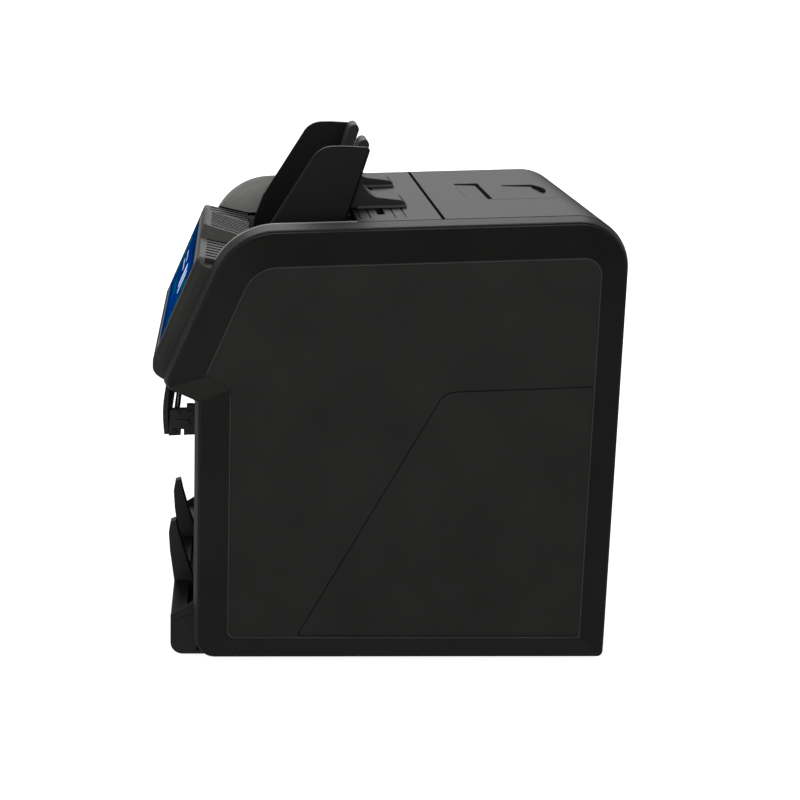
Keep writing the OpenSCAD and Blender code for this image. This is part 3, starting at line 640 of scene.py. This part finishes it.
def rear_profile(inset):
    """Rear cover skin from the slot over the rounded corner down to the hinge."""
    points = [(SLOT_REAR, top_z(SLOT_REAR) - inset)]
    centre = (REAR_BACK - REAR_R, top_z(REAR_BACK - REAR_R) - REAR_R)
    for i in range(REAR_STEPS + 1):
        share = 1 - i / REAR_STEPS
        angle = math.radians((90 + TOP_TILT) * share)
        points.append((centre[0] + (REAR_R - inset) * math.cos(angle),
                       centre[1] + (REAR_R - inset) * math.sin(angle)))
    points.append((REAR_BACK - inset, HINGE[1] + 4.8))
    return points


FINGER_RECESS = [(-30, 88.5), (15, 88.5), (17, 112), (-29, 110)]


def scoop_point(t, swell):
    """Point at the share t of the recess's rear edge, swollen to the rear in the middle."""
    return -29 + 46 * t, 110 + 2 * t + swell * math.sin(math.pi * t)


# Leaf-shaped scoop along the rear edge of the finger recess
FINGER_SCOOP = [scoop_point(k / 12, -2.4) for k in range(12)]
FINGER_SCOOP += [scoop_point(k / 12, 4.4) for k in range(12, 0, -1)]


def finger_tool(name, shape, front_depth, rear_depth):
    """Cutter that sinks a plan outline into the top, deeper towards the rear."""
    bm = bmesh.new()
    y0, y1 = min(p[1] for p in shape), max(p[1] for p in shape)
    low = []
    for x, y in shape:
        depth = front_depth + (rear_depth - front_depth) * (y - y0) / (y1 - y0)
        low.append(bm.verts.new((x, y, top_z(y) - depth)))
    high = [bm.verts.new((x, y, CUT_TOP)) for x, y in shape]
    join_rings(bm, low, high)
    bm.faces.new(low)
    bm.faces.new(high)
    bmesh.ops.triangulate(bm, faces=[f for f in bm.faces if len(f.verts) > 4])
    return make_object(bm, name)


def add_hinge_barrels(cover):
    """Two bored barrels on the hinge rod, each with a web up to the cover."""
    for x in BARREL_STARTS:
        end = x + BARREL_LENGTH
        fuse(cover, rod(f"barrel_{x}", HINGE, 4, x, end, 0.0),
             block(f"barrel_web_{x}", (x, HINGE[0] - 2, HINGE[1]), (end, HINGE[0] + 4, HINGE[1] + 14)))
        cut(cover, rod(f"barrel_bore_{x}", HINGE, 2.05, x - 1, end + 1, 0.0))


def build_rear_cover():
    cover = fuse(
        prism("rear_cover_skin", "x", -SHELL_X, SHELL_X, rear_profile(SKIN) + rear_profile(0.0)[::-1]),
        block("latch_box", (-47, 53, top_z(60) - 14), (43, 77, top_z(53) - SKIN + 0.8)),
        block("finger_box", (-33, 85, top_z(85) - 8), (22, 119, top_z(85) - SKIN + 0.8)))
    add_hinge_barrels(cover)
    cut(cover,
        prism("latch_well", "z", top_z(60) - 11, CUT_TOP, [
            (-44, 56.5, 0.6), (30, 56.5, 0.6), (39, 73.4, 0.6), (-44, 73.4, 0.6)]),
        finger_tool("finger_recess", FINGER_RECESS, 0.5, 1.3),
        finger_tool("finger_scoop", FINGER_SCOOP, 1.7, 3.0),
        rod("latch_bore", LATCH, 1, -45.6, 41.6, 0.0),
        prism("parting_line", "x", 39.5, 40.5, [
            (73, top_z(73) - 0.9), (118, top_z(118) - 0.9), (118, CUT_TOP), (73, CUT_TOP)]))
    soften(cover, 0.25, 2)
    hand_in(cover, "rear_cover", TOP, ["rear_cover"])
    build_latch_tab()


def build_latch_tab():
    tab = prism("latch_tab_plate", "z", LATCH[1] - 0.6, LATCH[1] + 1.95, [
        (-41, 57.2, 0.5), (29.8, 57.2, 0.5), (37.4, 71.6, 1.0), (-41, 71.6, 1.0)], edge=0.35)
    fuse(tab, rod("tab_barrel", LATCH, 1.8, -40, 28, 0.2))
    cut(tab, rod("tab_bore", LATCH, 1.05, -60, 60, 0.0))
    hand_in(tab, "latch", TOP, ["latch_tab"])


def build_deck():
    y0, y1 = DECK_FRONT, SLOT_FRONT
    rear_z = top_z(y1)
    deck = prism("deck_skin", "x", -SHELL_X, SHELL_X, [
        (y0, top_z(y0) - SKIN), (y1 - 2, rear_z - SKIN), (y1 - 2, rear_z - 9), (y1 + 4.6, rear_z - 9),
        (y1 + 4.6, rear_z - 7.5), (y1, rear_z - 7.5), (y1, rear_z), (y0, top_z(y0))])
    for x0, x1 in both_sides(9, 94):
        cut(deck, block("stem_slot", (x0, STEM[0] - 0.5, 270), (x1, STEM[1] + 0.5, 300)))
    for y in DECK_GROOVES:
        floor = top_z(y) - 0.8
        for x0, x1 in both_sides(62, 109):
            cut(deck, prism("deck_groove", "x", x0, x1, [
                (y - 0.45, floor), (y + 0.45, floor), (y + 0.45, CUT_TOP), (y - 0.45, CUT_TOP)]))
    soften(deck, 0.3, 2)
    hand_in(deck, "chassis", TOP, ["top_cover"])
    build_cheeks()


CHEEK = [(-113, 264.6), (-88.2, 259.7), (-60, 260.5), (DECK_FRONT - 0.3, 265), (DECK_FRONT - 0.3, CUT_TOP),
         (-113, CUT_TOP)]


def cheek_plate(name, x0, x1, inset):
    """Part of a hopper side wall that ends inset inside the seam outline."""
    plate = prism(name, "x", x0, x1, CHEEK)
    limit = prism("cheek_limit", "x", -130, 130, rim_outline(inset - 2.8))
    return combine(plate, [limit], "INTERSECT")


def build_cheeks():
    """Side walls beside the hopper, each with a bead a little inside its edge."""
    right = merged("right_cheek", [
        soften(cheek_plate("wall", 117.6, SHELL_X, 0.0), 0.3),
        soften(cheek_plate("bead", 116.6, 118.2, 1.2), 0.5, 3),
        soften(cheek_plate("field", 116.0, 117.0, 5.6), 0.4)])
    left = mirrored(right, "left_cheek")
    # The walls' pale grey is partly painted light, making up for the guides' shade
    hand_in(right, "chassis", GREY_AND_LIT_WALL)
    hand_in(left, "chassis", GREY_AND_LIT_WALL)


# ---------------------------------------------------------------- display

FACE_TOP, FACE_LOW = (-120.6, 265.6), (-149.0, 198.2)
FACE_LEN = math.dist(FACE_TOP, FACE_LOW)
FACE_DIR = ((FACE_TOP[0] - FACE_LOW[0]) / FACE_LEN, (FACE_TOP[1] - FACE_LOW[1]) / FACE_LEN)
FACE_OUT = (-FACE_DIR[1], FACE_DIR[0])
HOUSING_REAR = -88.6
RIDGE_X, RIDGE_FOOT_X = 35.0, 44.0
RIDGE_PITCH, SHOULDER_PITCH = 7.0, 10.2
# Grooves as half widths, floors as lines from a front (y, z) to a rear (y, z), and the cutters' tops
RIDGE_GROOVE, RIDGE_FLOOR, RIDGE_TOP = 1.9, ((-114.4, 269.4), (-80, 259.6)), 285.0
SHOULDER_GROOVE, SHOULDER_FLOOR, SHOULDER_TOP = 2.3, ((-116.6, 261.4), (-80, 254.2)), 275.0
RIDGE_XS = [RIDGE_PITCH * i for i in range(-4, 5)]
SHOULDER_XS = [side * (RIDGE_FOOT_X + 1.2 + SHOULDER_PITCH * i) for i in range(8) for side in (-1, 1)]
# The top's end chamfers start at this x
CHAMFER_X = 114.4
# How far the front draws back towards each end, as (x, depth)
END_ROUNDING = [(113.6, 0.0), (115.6, 0.35), (117.4, 1.2), (118.9, 2.6), (119.9, 4.2), (120.45, 6.0),
                (SHELL_X, 8.0)]


def on_face(s, d):
    """Point s along the front of the housing from its lower edge and d in front of it."""
    return tuple(low + s * along + d * out for low, along, out in zip(FACE_LOW, FACE_DIR, FACE_OUT))


def face_coords(point):
    """How far along the front of the housing, and how far in front of it, a point is."""
    y, z = point[0] - FACE_LOW[0], point[1] - FACE_LOW[1]
    return y * FACE_DIR[0] + z * FACE_DIR[1], y * FACE_OUT[0] + z * FACE_OUT[1]


HOUSING = [(*FACE_TOP, 2.2), (*on_face(0.6, 0), 3.0), (-149.0, 190.6, 5.0), (-122, 180.4, 0.6),
           (-122, 186.5, 0.6), (-137.4, 190.2, 1.0), (HOUSING_REAR - 2, 256.2), (HOUSING_REAR, 256.2),
           (HOUSING_REAR, 259.2, 0.4)]
INNER_LINE = ((-137.4, 190.2), (HOUSING_REAR - 2, 256.2))


def drawn_back(point, depth):
    """Outline point moved back from the front; points on the inner line stay."""
    s, d = face_coords(point)
    (start_s, start_d), (end_s, end_d) = (face_coords(end) for end in INNER_LINE)
    t = min(max((s - start_s) / (end_s - start_s), 0.0), 1.0)
    inner = start_d + t * (end_d - start_d)
    weight = min(max((d - inner) / (0.0 - inner), 0.0), 1.0)
    return point[0] - FACE_OUT[0] * depth * weight, point[1] - FACE_OUT[1] * depth * weight


def chamfered(point, x):
    """Outline point of the top lowered towards the ends of the housing, less so at its rear."""
    drop = max(abs(x) - CHAMFER_X, 0.0) * 0.9
    top = FACE_TOP[1] - 0.2 * (point[0] - FACE_TOP[0])
    share = min(max((HOUSING_REAR - point[0]) / 22.0, 0.0), 1.0)
    return point[0], min(point[1], max(top - drop * share, point[1] - 6.0))


def housing_body():
    bm = bmesh.new()
    base = outline(HOUSING, 0.0, 8)
    layers = [(-x, depth) for x, depth in END_ROUNDING[::-1]] + END_ROUNDING
    rings = [add_ring(bm, "x", [chamfered(drawn_back(p, depth), x) for p in base], x) for x, depth in layers]
    for one, two in zip(rings, rings[1:]):
        join_rings(bm, one, two)
    fill(bm, [rings[0]])
    fill(bm, [rings[-1]])
    return make_object(bm, "housing_shell")


def ridge_body():
    """Raised middle of the ribbed top, with slanted ends."""
    def profile(share):
        s, d = 72.6 + 8.7 * share, 2.3 * share - 0.5
        y, z = on_face(s, d)
        return [on_face(69.6, -0.5), (HOUSING_REAR, 257.2), (HOUSING_REAR, 259 + 5.6 * share),
                (y + 2.4, z - 0.6 - 0.4 * share), (y + 0.9 * share, z - 0.1 * share),
                on_face(s - 0.8 * share, d - 0.1), on_face(s - 1.5 - 1.0 * share, d - 0.5 * share)]
    bm = bmesh.new()
    layers = [(-RIDGE_FOOT_X, 0.0), (-RIDGE_X, 1.0), (RIDGE_X, 1.0), (RIDGE_FOOT_X, 0.0)]
    rings = [add_ring(bm, "x", profile(share), x) for x, share in layers]
    for one, two in zip(rings, rings[1:]):
        join_rings(bm, one, two)
    fill(bm, [rings[0]])
    fill(bm, [rings[-1]])
    return make_object(bm, "ridge")


def paint_housing_light_and_shade(housing):
    """Painted light and shade: faces of the top that look up take a paler plastic, and the walls and floors
    of its grooves a dark one.
    """
    housing.data.materials.append(PAINTED_LIGHT_GREY)
    housing.data.materials.append(POCKET)
    grooves = [(x, RIDGE_GROOVE, RIDGE_FLOOR) for x in RIDGE_XS]
    grooves += [(x, SHOULDER_GROOVE, SHOULDER_FLOOR) for x in SHOULDER_XS]
    for face in housing.data.polygons:
        x, y, z = (value / MM for value in face.center)
        # Faces that look up take the paler plastic: painted light
        if face.normal.z > 0.35 and z > 257:
            face.material_index = 1
        # Groove walls and floors take the dark plastic: painted shade
        for middle, half, ((y0, z0), (y1, z1)) in grooves:
            floor = z0 + (y - y0) * (z1 - z0) / (y1 - y0)
            wall = abs(face.normal.x) > 0.8 and floor - 0.5 < z
            if abs(x - middle) < half + 0.1 and -117 < y < HOUSING_REAR and (wall or abs(z - floor) < 0.4):
                face.material_index = 2


def cut_grooves(housing, name, xs, half, floor, top):
    """Grooves of the ribbed top, open upwards and to the rear."""
    section = [*floor, (floor[1][0], top), (floor[0][0] + 0.8, top)]
    for x in xs:
        cut(housing, prism(name, "x", x - half, x + half, section))


def build_display():
    housing = fuse(housing_body(), ridge_body())
    cut(housing, prism("housing_hollow", "x", -SHELL_X + 3, SHELL_X - 3, [
        on_face(4, -3), (-130, 188), (-92, 236), (-92, 253.5), (-115.5, 260.3), on_face(70.4, -3)]))
    cut(housing, prism("window", "x", -106, 106, [
        on_face(5, 1), on_face(5, -10), on_face(69, -10), on_face(69, 1)]))
    cut_grooves(housing, "shoulder_groove", SHOULDER_XS, SHOULDER_GROOVE, SHOULDER_FLOOR, SHOULDER_TOP)
    cut_grooves(housing, "ridge_groove", RIDGE_XS, RIDGE_GROOVE, RIDGE_FLOOR, RIDGE_TOP)
    soften(housing, 0.25, 2)
    hand_in(housing, "chassis", TOP, ["display_housing"], angle=30)
    paint_housing_light_and_shade(housing)
    glass = prism("cover_glass_plate", "x", -105.6, 105.6, [
        (*on_face(5.4, -1.8), 0.1), (*on_face(68.6, -1.8), 0.1),
        (*on_face(68.6, -0.1), 0.5), (*on_face(5.4, -0.1), 0.5)], edge=0.3)
    hand_in(glass, "chassis", GLASS, ["display_glass"])
    build_screen()


def tile(name, x0, x1, s0, s1, radius, lift):
    """Thin lit tile on the glass, from x0 to x1 and from s0 to s1 up the slope."""
    bm = bmesh.new()
    shape = [(x0, s0, radius), (x1, s0, radius), (x1, s1, radius), (x0, s1, radius)]
    rings = []
    for d in (-0.35, lift):
        ring = []
        for x, s in outline(shape, 0.0, 4):
            y, z = on_face(s, d)
            ring.append(bm.verts.new((x, y, z)))
        rings.append(ring)
    join_rings(bm, rings[0], rings[1])
    bm.faces.new(rings[0])
    bm.faces.new(rings[1])
    return make_object(bm, name)


def build_screen():
    """Lit screen: a blue field with plain tiles and bars, and no lettering."""
    blue = lit("screen_blue", (0.0, 0.014, 0.11), (0.0, 0.036, 0.24), 0.5, 11.0)
    navy = lit("screen_navy", (0.0, 0.008, 0.035), (0.0, 0.018, 0.07), 0.6)
    teal = lit("screen_teal", (0.0, 0.03, 0.07), (0.0, 0.07, 0.11), 0.5, 30.0)
    pale = lit("screen_pale", (0.18, 0.3, 0.45), (0.5, 0.6, 0.68), 0.5, 30.0)
    field = tile("screen_field", -100, 100, 9, 64, 1.0, -0.06)
    hand_in(field, "chassis", blue, ["display_module"])
    bars = [tile("header_bar", -99, 99, 57.0, 63.4, 0.8, -0.03),
            tile("footer_bar", -99, 99, 9.6, 15.4, 0.8, -0.03),
            tile("side_bar_l", -98, -66, 18, 54, 1.5, -0.03),
            tile("side_bar_r", 70, 98, 18, 54, 1.5, -0.03)]
    hand_in(merged("screen_bars", bars), "chassis", navy)
    keys = [tile("key", x - 10, x + 10, s - 4.4, s + 4.4, 1.8, 0.0) for x in (-82, 84) for s in (25, 36, 47)]
    keys += [tile("gauge", -52, 10, 22, 27, 1.2, 0.0)]
    hand_in(merged("screen_keys", keys), "chassis", teal)
    marks = [tile("figure", 18 + 22 * i, 34 + 22 * i, 34, 50, 2.5, 0.03) for i in range(2)]
    marks += [tile("line", -54, -12, 38 + 6.5 * i, 40.4 + 6.5 * i, 0.8, 0.03) for i in range(2)]
    hand_in(merged("screen_marks", marks), "chassis", pale)


# ---------------------------------------------------------------- hopper

LEAN = 1 / 3.155
PINION_Y, PINION_Z = -8.0, 262.0
RACK_NEAR, RACK_DEPTH = 9.1, 4.0
GUIDE_X = (80, 85)


def support_y(z):
    """Front of the leaning throat wall at the height z."""
    return -25.6 + (z - 284) * LEAN


GUIDE = [(support_y(232) - 1.4, 232, 1.0), (-12.5, 331.9, 2.4), (-30, 332.4, 20), (-45.2, 331.8, 15.5),
         (-78.4, 277.5, 9), (-84.6, 260, 9), (-84.6, 232, 1.0)]


def guide(name, arm_y):
    """Banknote guide, with the arm that reaches its rack at arm_y."""
    plate = prism(name, "x", *GUIDE_X, GUIDE, edge=1.7, edge_lo=0.9, rounding=5, steps=10)
    front, rear = sorted((support_y(PINION_Z) - 2.6, arm_y))
    arm = block("guide_arm", (GUIDE_X[0] + 0.6, front, PINION_Z - 2.6),
                (GUIDE_X[1] - 0.6, rear, PINION_Z + 2.6), 0.4)
    return merged(name, [plate, arm])


REST_IN, REST_W = 36.0, 30.0


def rest_y(z):
    return -22.6 + (z - 322.4) * LEAN


def foot_z(y):
    return top_z(y) + 0.3


def rest_profile():
    """Side profile of a note rest, anticlockwise: leaning blade swept into a foot."""
    points = [(rest_y(262), 262), (rest_y(262) + 4, 262), (rest_y(284) + 7.4, 284),
              (rest_y(284) + 7.4, foot_z(-24)), (12.6, foot_z(12.6)), (12.4, foot_z(12.4) + 2.6),
              (9.4, foot_z(9) + 4.6), (-1, foot_z(-1) + 6.1)]
    for i in range(15):
        angle = math.radians(6.43 * i)
        points.append((rest_y(314) + 7.4 + 14 * (1 - math.sin(angle)),
                       314 - (314 - foot_z(-4) - 6.5) * math.cos(angle)))
    points += [(rest_y(332) + 7.2, 331.4), (rest_y(334) + 5.6, 334.0), (rest_y(335) + 3.4, 335.0),
               (rest_y(335) + 1.4, 334.6), (rest_y(333) + 0.2, 333.0)]
    return points


def note_rest(name, rack_y):
    x0, x1 = REST_IN, REST_IN + REST_W
    blade = prism(name, "x", x0, x1, rest_profile())
    soften(blade, 0.7, 2, 24)
    stem = block("stem", (x0 + 6, STEM[0], PINION_Z + 3.2), (x0 + 24, STEM[1], foot_z(-8) + 2), 0.3)
    bridge = block("bridge", (x0 + 6, min(rack_y, STEM[0]), PINION_Z + 3.2),
                   (x0 + 24, max(rack_y, STEM[1]), PINION_Z + 7), 0.3)
    return merged(name, [blade, stem, bridge])


def foot_strip(name):
    """Pale runner along the foot of a note rest; its paleness is a painted highlight."""
    front, rear = -19.0, 13.0
    return prism(name, "x", REST_IN - 2.2, REST_IN + REST_W + 2.2, [
        (front, foot_z(front) - 0.05), (rear, foot_z(rear) - 0.05),
        (rear, foot_z(rear) + 1.7), (front, foot_z(front) + 1.7)], edge=0.35)


def left_twin(make, rack_y, name):
    """Mirror image of what make builds for the rack at rack_y."""
    seed = make(name + "_seed", rack_y)
    twin = mirrored(seed, name)
    bpy.data.objects.remove(seed)
    return twin


def build_hopper():
    near_rack, far_rack = PINION_Y - RACK_NEAR, PINION_Y + RACK_NEAR + RACK_DEPTH
    hand_in(guide("right_guide_plate", near_rack), "right_guide", FIN, ["right_guide"])
    hand_in(left_twin(guide, far_rack, "left_guide_plate"), "left_guide", FIN, ["left_guide"])
    hand_in(note_rest("right_rest_blade", near_rack - RACK_DEPTH), "right_guide", TOP, ["right_note_rest"])
    hand_in(left_twin(note_rest, far_rack, "left_rest_blade"), "left_guide", TOP, ["left_note_rest"])
    right = foot_strip("right_rest_highlight_runner")
    left = mirrored(right, "left_rest_highlight_runner")
    # The runners' pale grey is a painted highlight
    hand_in(right, "right_guide", PAINTED_LIGHT_GREY)
    hand_in(left, "left_guide", PAINTED_LIGHT_GREY)
    for node in ("feed_plate", "throat_wall"):
        hand_in(from_node(node, node + "_skin", 0.5), "chassis", POCKET, [node])


# ---------------------------------------------------------------- pockets and base

FINGER = [(-133, 22, 0.4), (-123.6, 22, 0.4), (-123.6, 30.8, 1), (-131.2, 55, 2), (-133.6, 63.6, 2),
          (-135.6, 72.8, 0.6), (-139.4, 71.4, 1.0), (-140.7, 63.4, 2), (-139.9, 51, 3), (-136.4, 25.4, 1)]
FINGER_XS, FINGER_HALF = (-48, 48), 4.5
FOOT = [(0.0, 0.0), (5.6, 0.0), (5.9, 0.5), (6.6, 0.5), (6.9, 0.0), (8.0, 0.0), (8.7, 0.3), (9.0, 1.0),
        (9.0, 3.2), (1.6, 3.2), (1.6, 7.2), (0.0, 7.2)]
# Ribs on the arms of the reject bracket, as (y, z, width, height)
ARM_RIBS = ((-131, 146, 9, 3.2), (-126, 151.5, 5, 4), (-134, 152, 3, 2), (-123, 142, 4, 5))


def build_stop_fingers():
    fingers = [prism(f"finger_{x}", "x", x - FINGER_HALF, x + FINGER_HALF, FINGER, edge=0.8)
               for x in FINGER_XS]
    hand_in(merged("stop_fingers", fingers), "chassis", POCKET, ["stacker_fingers"])


def build_base():
    """Base tray, with a line along each cheek and a shelf between the stop fingers."""
    tray = from_node("base_tray", "base_shell", 0.7, 3)
    for x0, x1 in both_sides(120.2, 121.5):
        cut(tray, prism("cheek_line", "x", x0, x1, [
            (-135.2, 25.6), (-118.6, 32.6), (-118.9, 33.3), (-135.5, 26.3)]))
    shelf = prism("finger_shelf", "x", -117.4, 117.4, [
        (-136.3, 24), (-126.6, 21.5), (-126.6, 29.4), (-136.3, 29.6)])
    gap = FINGER_HALF + 0.2
    cut(shelf, *[block(f"finger_gap_{x}", (x - gap, -138, 20), (x + gap, -120, 40)) for x in FINGER_XS])
    hand_in(merged("base_shell", [tray, soften(shelf, 0.6)]), "chassis", BLACK, ["base_tray"])


def build_reject_bracket():
    """Bracket under the display, its arms relieved below and ribbed outside."""
    bracket = from_node("reject_tray", "reject_bracket", 0.0)
    for x0, x1 in both_sides(60, 69):
        cut(bracket, prism("arm_relief", "x", x0, x1, [
            (-145, 120), (-119, 120), (-119, 137.6), (-145, 136.2)]))
    soften(bracket, 0.4)
    ribs = [block("arm_rib", (x0, y - width / 2, z - height / 2), (x1, y + width / 2, z + height / 2), 0.4)
            for x0, x1 in both_sides(67.5, 69.2) for y, z, width, height in ARM_RIBS]
    hand_in(merged("reject_bracket", [bracket] + ribs), "chassis", POCKET, ["reject_tray"])


def build_pockets():
    build_stop_fingers()
    build_base()
    for node, width, material in (
            ("stacker_plate", 0.4, POCKET), ("back_panel", 0.35, BLACK),
            ("power_inlet", 0.3, GLOSS), ("switch_frame", 0.3, GLOSS), ("data_ports", 0.2, PLATED),
            ("cover_screws", 0.15, STEEL), ("power_supply", 0.5, PLATED), ("main_board", 0.15, BOARD)):
        hand_in(from_node(node, node + "_shape", width), "chassis", material, [node])
    build_reject_bracket()
    hand_in(rod("stop_pin", (-136.8, 139.5), 2.0, -69, 69), "chassis", GLOSS, ["reject_stop_pin"])
    hand_in(from_node("reject_stop", "reject_stop_plate", 0.5), "stop_plate", POCKET, ["reject_stop"])
    hand_in(from_node("power_switch", "power_rocker", 0.4), "switch", GLOSS, ["power_switch"])
    feet = [rubber_foot(f"foot_{x}_{y}", x, y) for x in (-95, 95) for y in (-100, 118)]
    hand_in(merged("rubber_feet", feet), "chassis", DARK_RUBBER, ["feet"])


def rubber_foot(name, x, y):
    """Round foot with a rounded lower rim and a ring groove."""
    bm = bmesh.new()
    rings = [turned_ring(bm, "z", (x, y), z, radius, ROUND_SIDES) if radius else [bm.verts.new((x, y, z))]
             for radius, z in FOOT]
    for one, two in zip(rings, rings[1:]):
        for i in range(ROUND_SIDES):
            j = (i + 1) % ROUND_SIDES
            low = one if len(one) == 1 else [one[i], one[j]]
            high = two if len(two) == 1 else [two[j], two[i]]
            bm.faces.new(low + high)
    return make_object(bm, name)


# ---------------------------------------------------------------- wheels and rollers

TYRE_R, TYRE_BORE = 14.0, 3.0


def tyre_profile(x, width):
    """Section of a roller's tyre about the line along X, with three grooves round it."""
    start, end = x - width / 2, x + width / 2
    shoulder, floor = TYRE_R - 0.8, TYRE_R - 0.7
    profile = [(start, TYRE_BORE), (start, shoulder), (start + 0.8, TYRE_R)]
    for k in range(1, 4):
        mid = start + width * k / 4
        profile += [(mid - 0.6, TYRE_R), (mid - 0.3, floor), (mid + 0.3, floor), (mid + 0.6, TYRE_R)]
    return profile + [(end - 0.8, TYRE_R), (end, shoulder), (end, TYRE_BORE)]


def build_wheels():
    for body in ("stacker", "reject"):
        node = body + "_wheels"
        hand_in(from_node(node, node + "_vanes", 0.25), body, DARK_RUBBER, [node])
    for body, at, xs, width in (
            ("feed", (-62, 213), (-22, 22), 16),
            ("upper", (30, 214), (-72, -26, 26, 72), 14),
            ("lower", (75, 160), (-72, -26, 26, 72), 14)):
        node = body + "_rollers"
        rings = [lathe(f"{node}_{x}", at, tyre_profile(x, width)) for x in xs]
        hand_in(merged(node + "_rings", rings), body, ROLLER, [node])


def finish_cad_nodes():
    """Every CAD node that stays visible takes the finish of its slot."""
    for name, node in NODES.items():
        material = FINISH[SLOT_OF[name]]
        node.data.materials.clear()
        node.data.materials.append(material)


# ---------------------------------------------------------------- stage

def add_floor():
    bm = bmesh.new()
    bmesh.ops.create_grid(bm, x_segments=8, y_segments=8, size=60000.0)
    floor = make_object(bm, "floor")
    material, tree, shader, coords = nodes_of("pale_floor")
    cloud = noise(tree, coords, 2.0, 2.0)
    tree.links.new(ramp(tree, cloud, [(0.3, (0.86, 0.86, 0.86)), (0.7, (0.88, 0.88, 0.88))]),
                   shader.inputs["Base Color"])
    shader.inputs["Roughness"].default_value = 1.0
    shader.inputs["Specular IOR Level"].default_value = 0.0
    shader.inputs["Emission Color"].default_value = (1, 1, 1, 1)
    shader.inputs["Emission Strength"].default_value = 0.9
    floor.data.materials.append(material)
    floor.visible_glossy = False


def add_area_light(name, location, target, size_x, size_y, power):
    light = bpy.data.lights.new(name, "AREA")
    light.shape = "RECTANGLE"
    light.size, light.size_y = size_x, size_y
    light.energy = power
    holder = bpy.data.objects.new(name, light)
    holder.location = location
    holder.rotation_euler = (Vector(target) - Vector(location)).to_track_quat("-Z", "Y").to_euler()
    bpy.context.scene.collection.objects.link(holder)


def add_camera():
    data = bpy.data.cameras.new("camera")
    data.sensor_width = 36.0
    data.lens = 80.576
    data.clip_end = 200.0
    camera = bpy.data.objects.new("camera", data)
    camera.location = (1.22276, -0.09781, 0.45371)
    camera.rotation_euler = [math.radians(angle) for angle in (75.9143, -1.9729, 85.0165)]
    bpy.context.scene.collection.objects.link(camera)
    bpy.context.scene.camera = camera


def add_stage():
    world = bpy.data.worlds.new("studio")
    world.use_nodes = True
    background = world.node_tree.nodes["Background"]
    background.inputs["Color"].default_value = (1.0, 1.0, 1.0, 1)
    background.inputs["Strength"].default_value = 0.22
    bpy.context.scene.world = world
    bpy.context.scene.view_settings.view_transform = "Standard"
    add_area_light("backdrop_light", (-2.6, 0.0, 2.6), (0.0, 0.0, 1.2), 2.2, 3.4, 46.0)
    add_area_light("key_light", (2.6, 0.0, 0.9), (0.0, 0.0, 0.15), 1.4, 1.4, 13.0)
    add_area_light("front_light", (0.9, -2.2, 1.3), (0.0, -0.1, 0.2), 1.2, 1.2, 9.0)


add_camera()
add_stage()
add_floor()
finish_cad_nodes()
build_side_covers()
build_rear_cover()
build_deck()
build_display()
build_hopper()
build_pockets()
build_wheels()
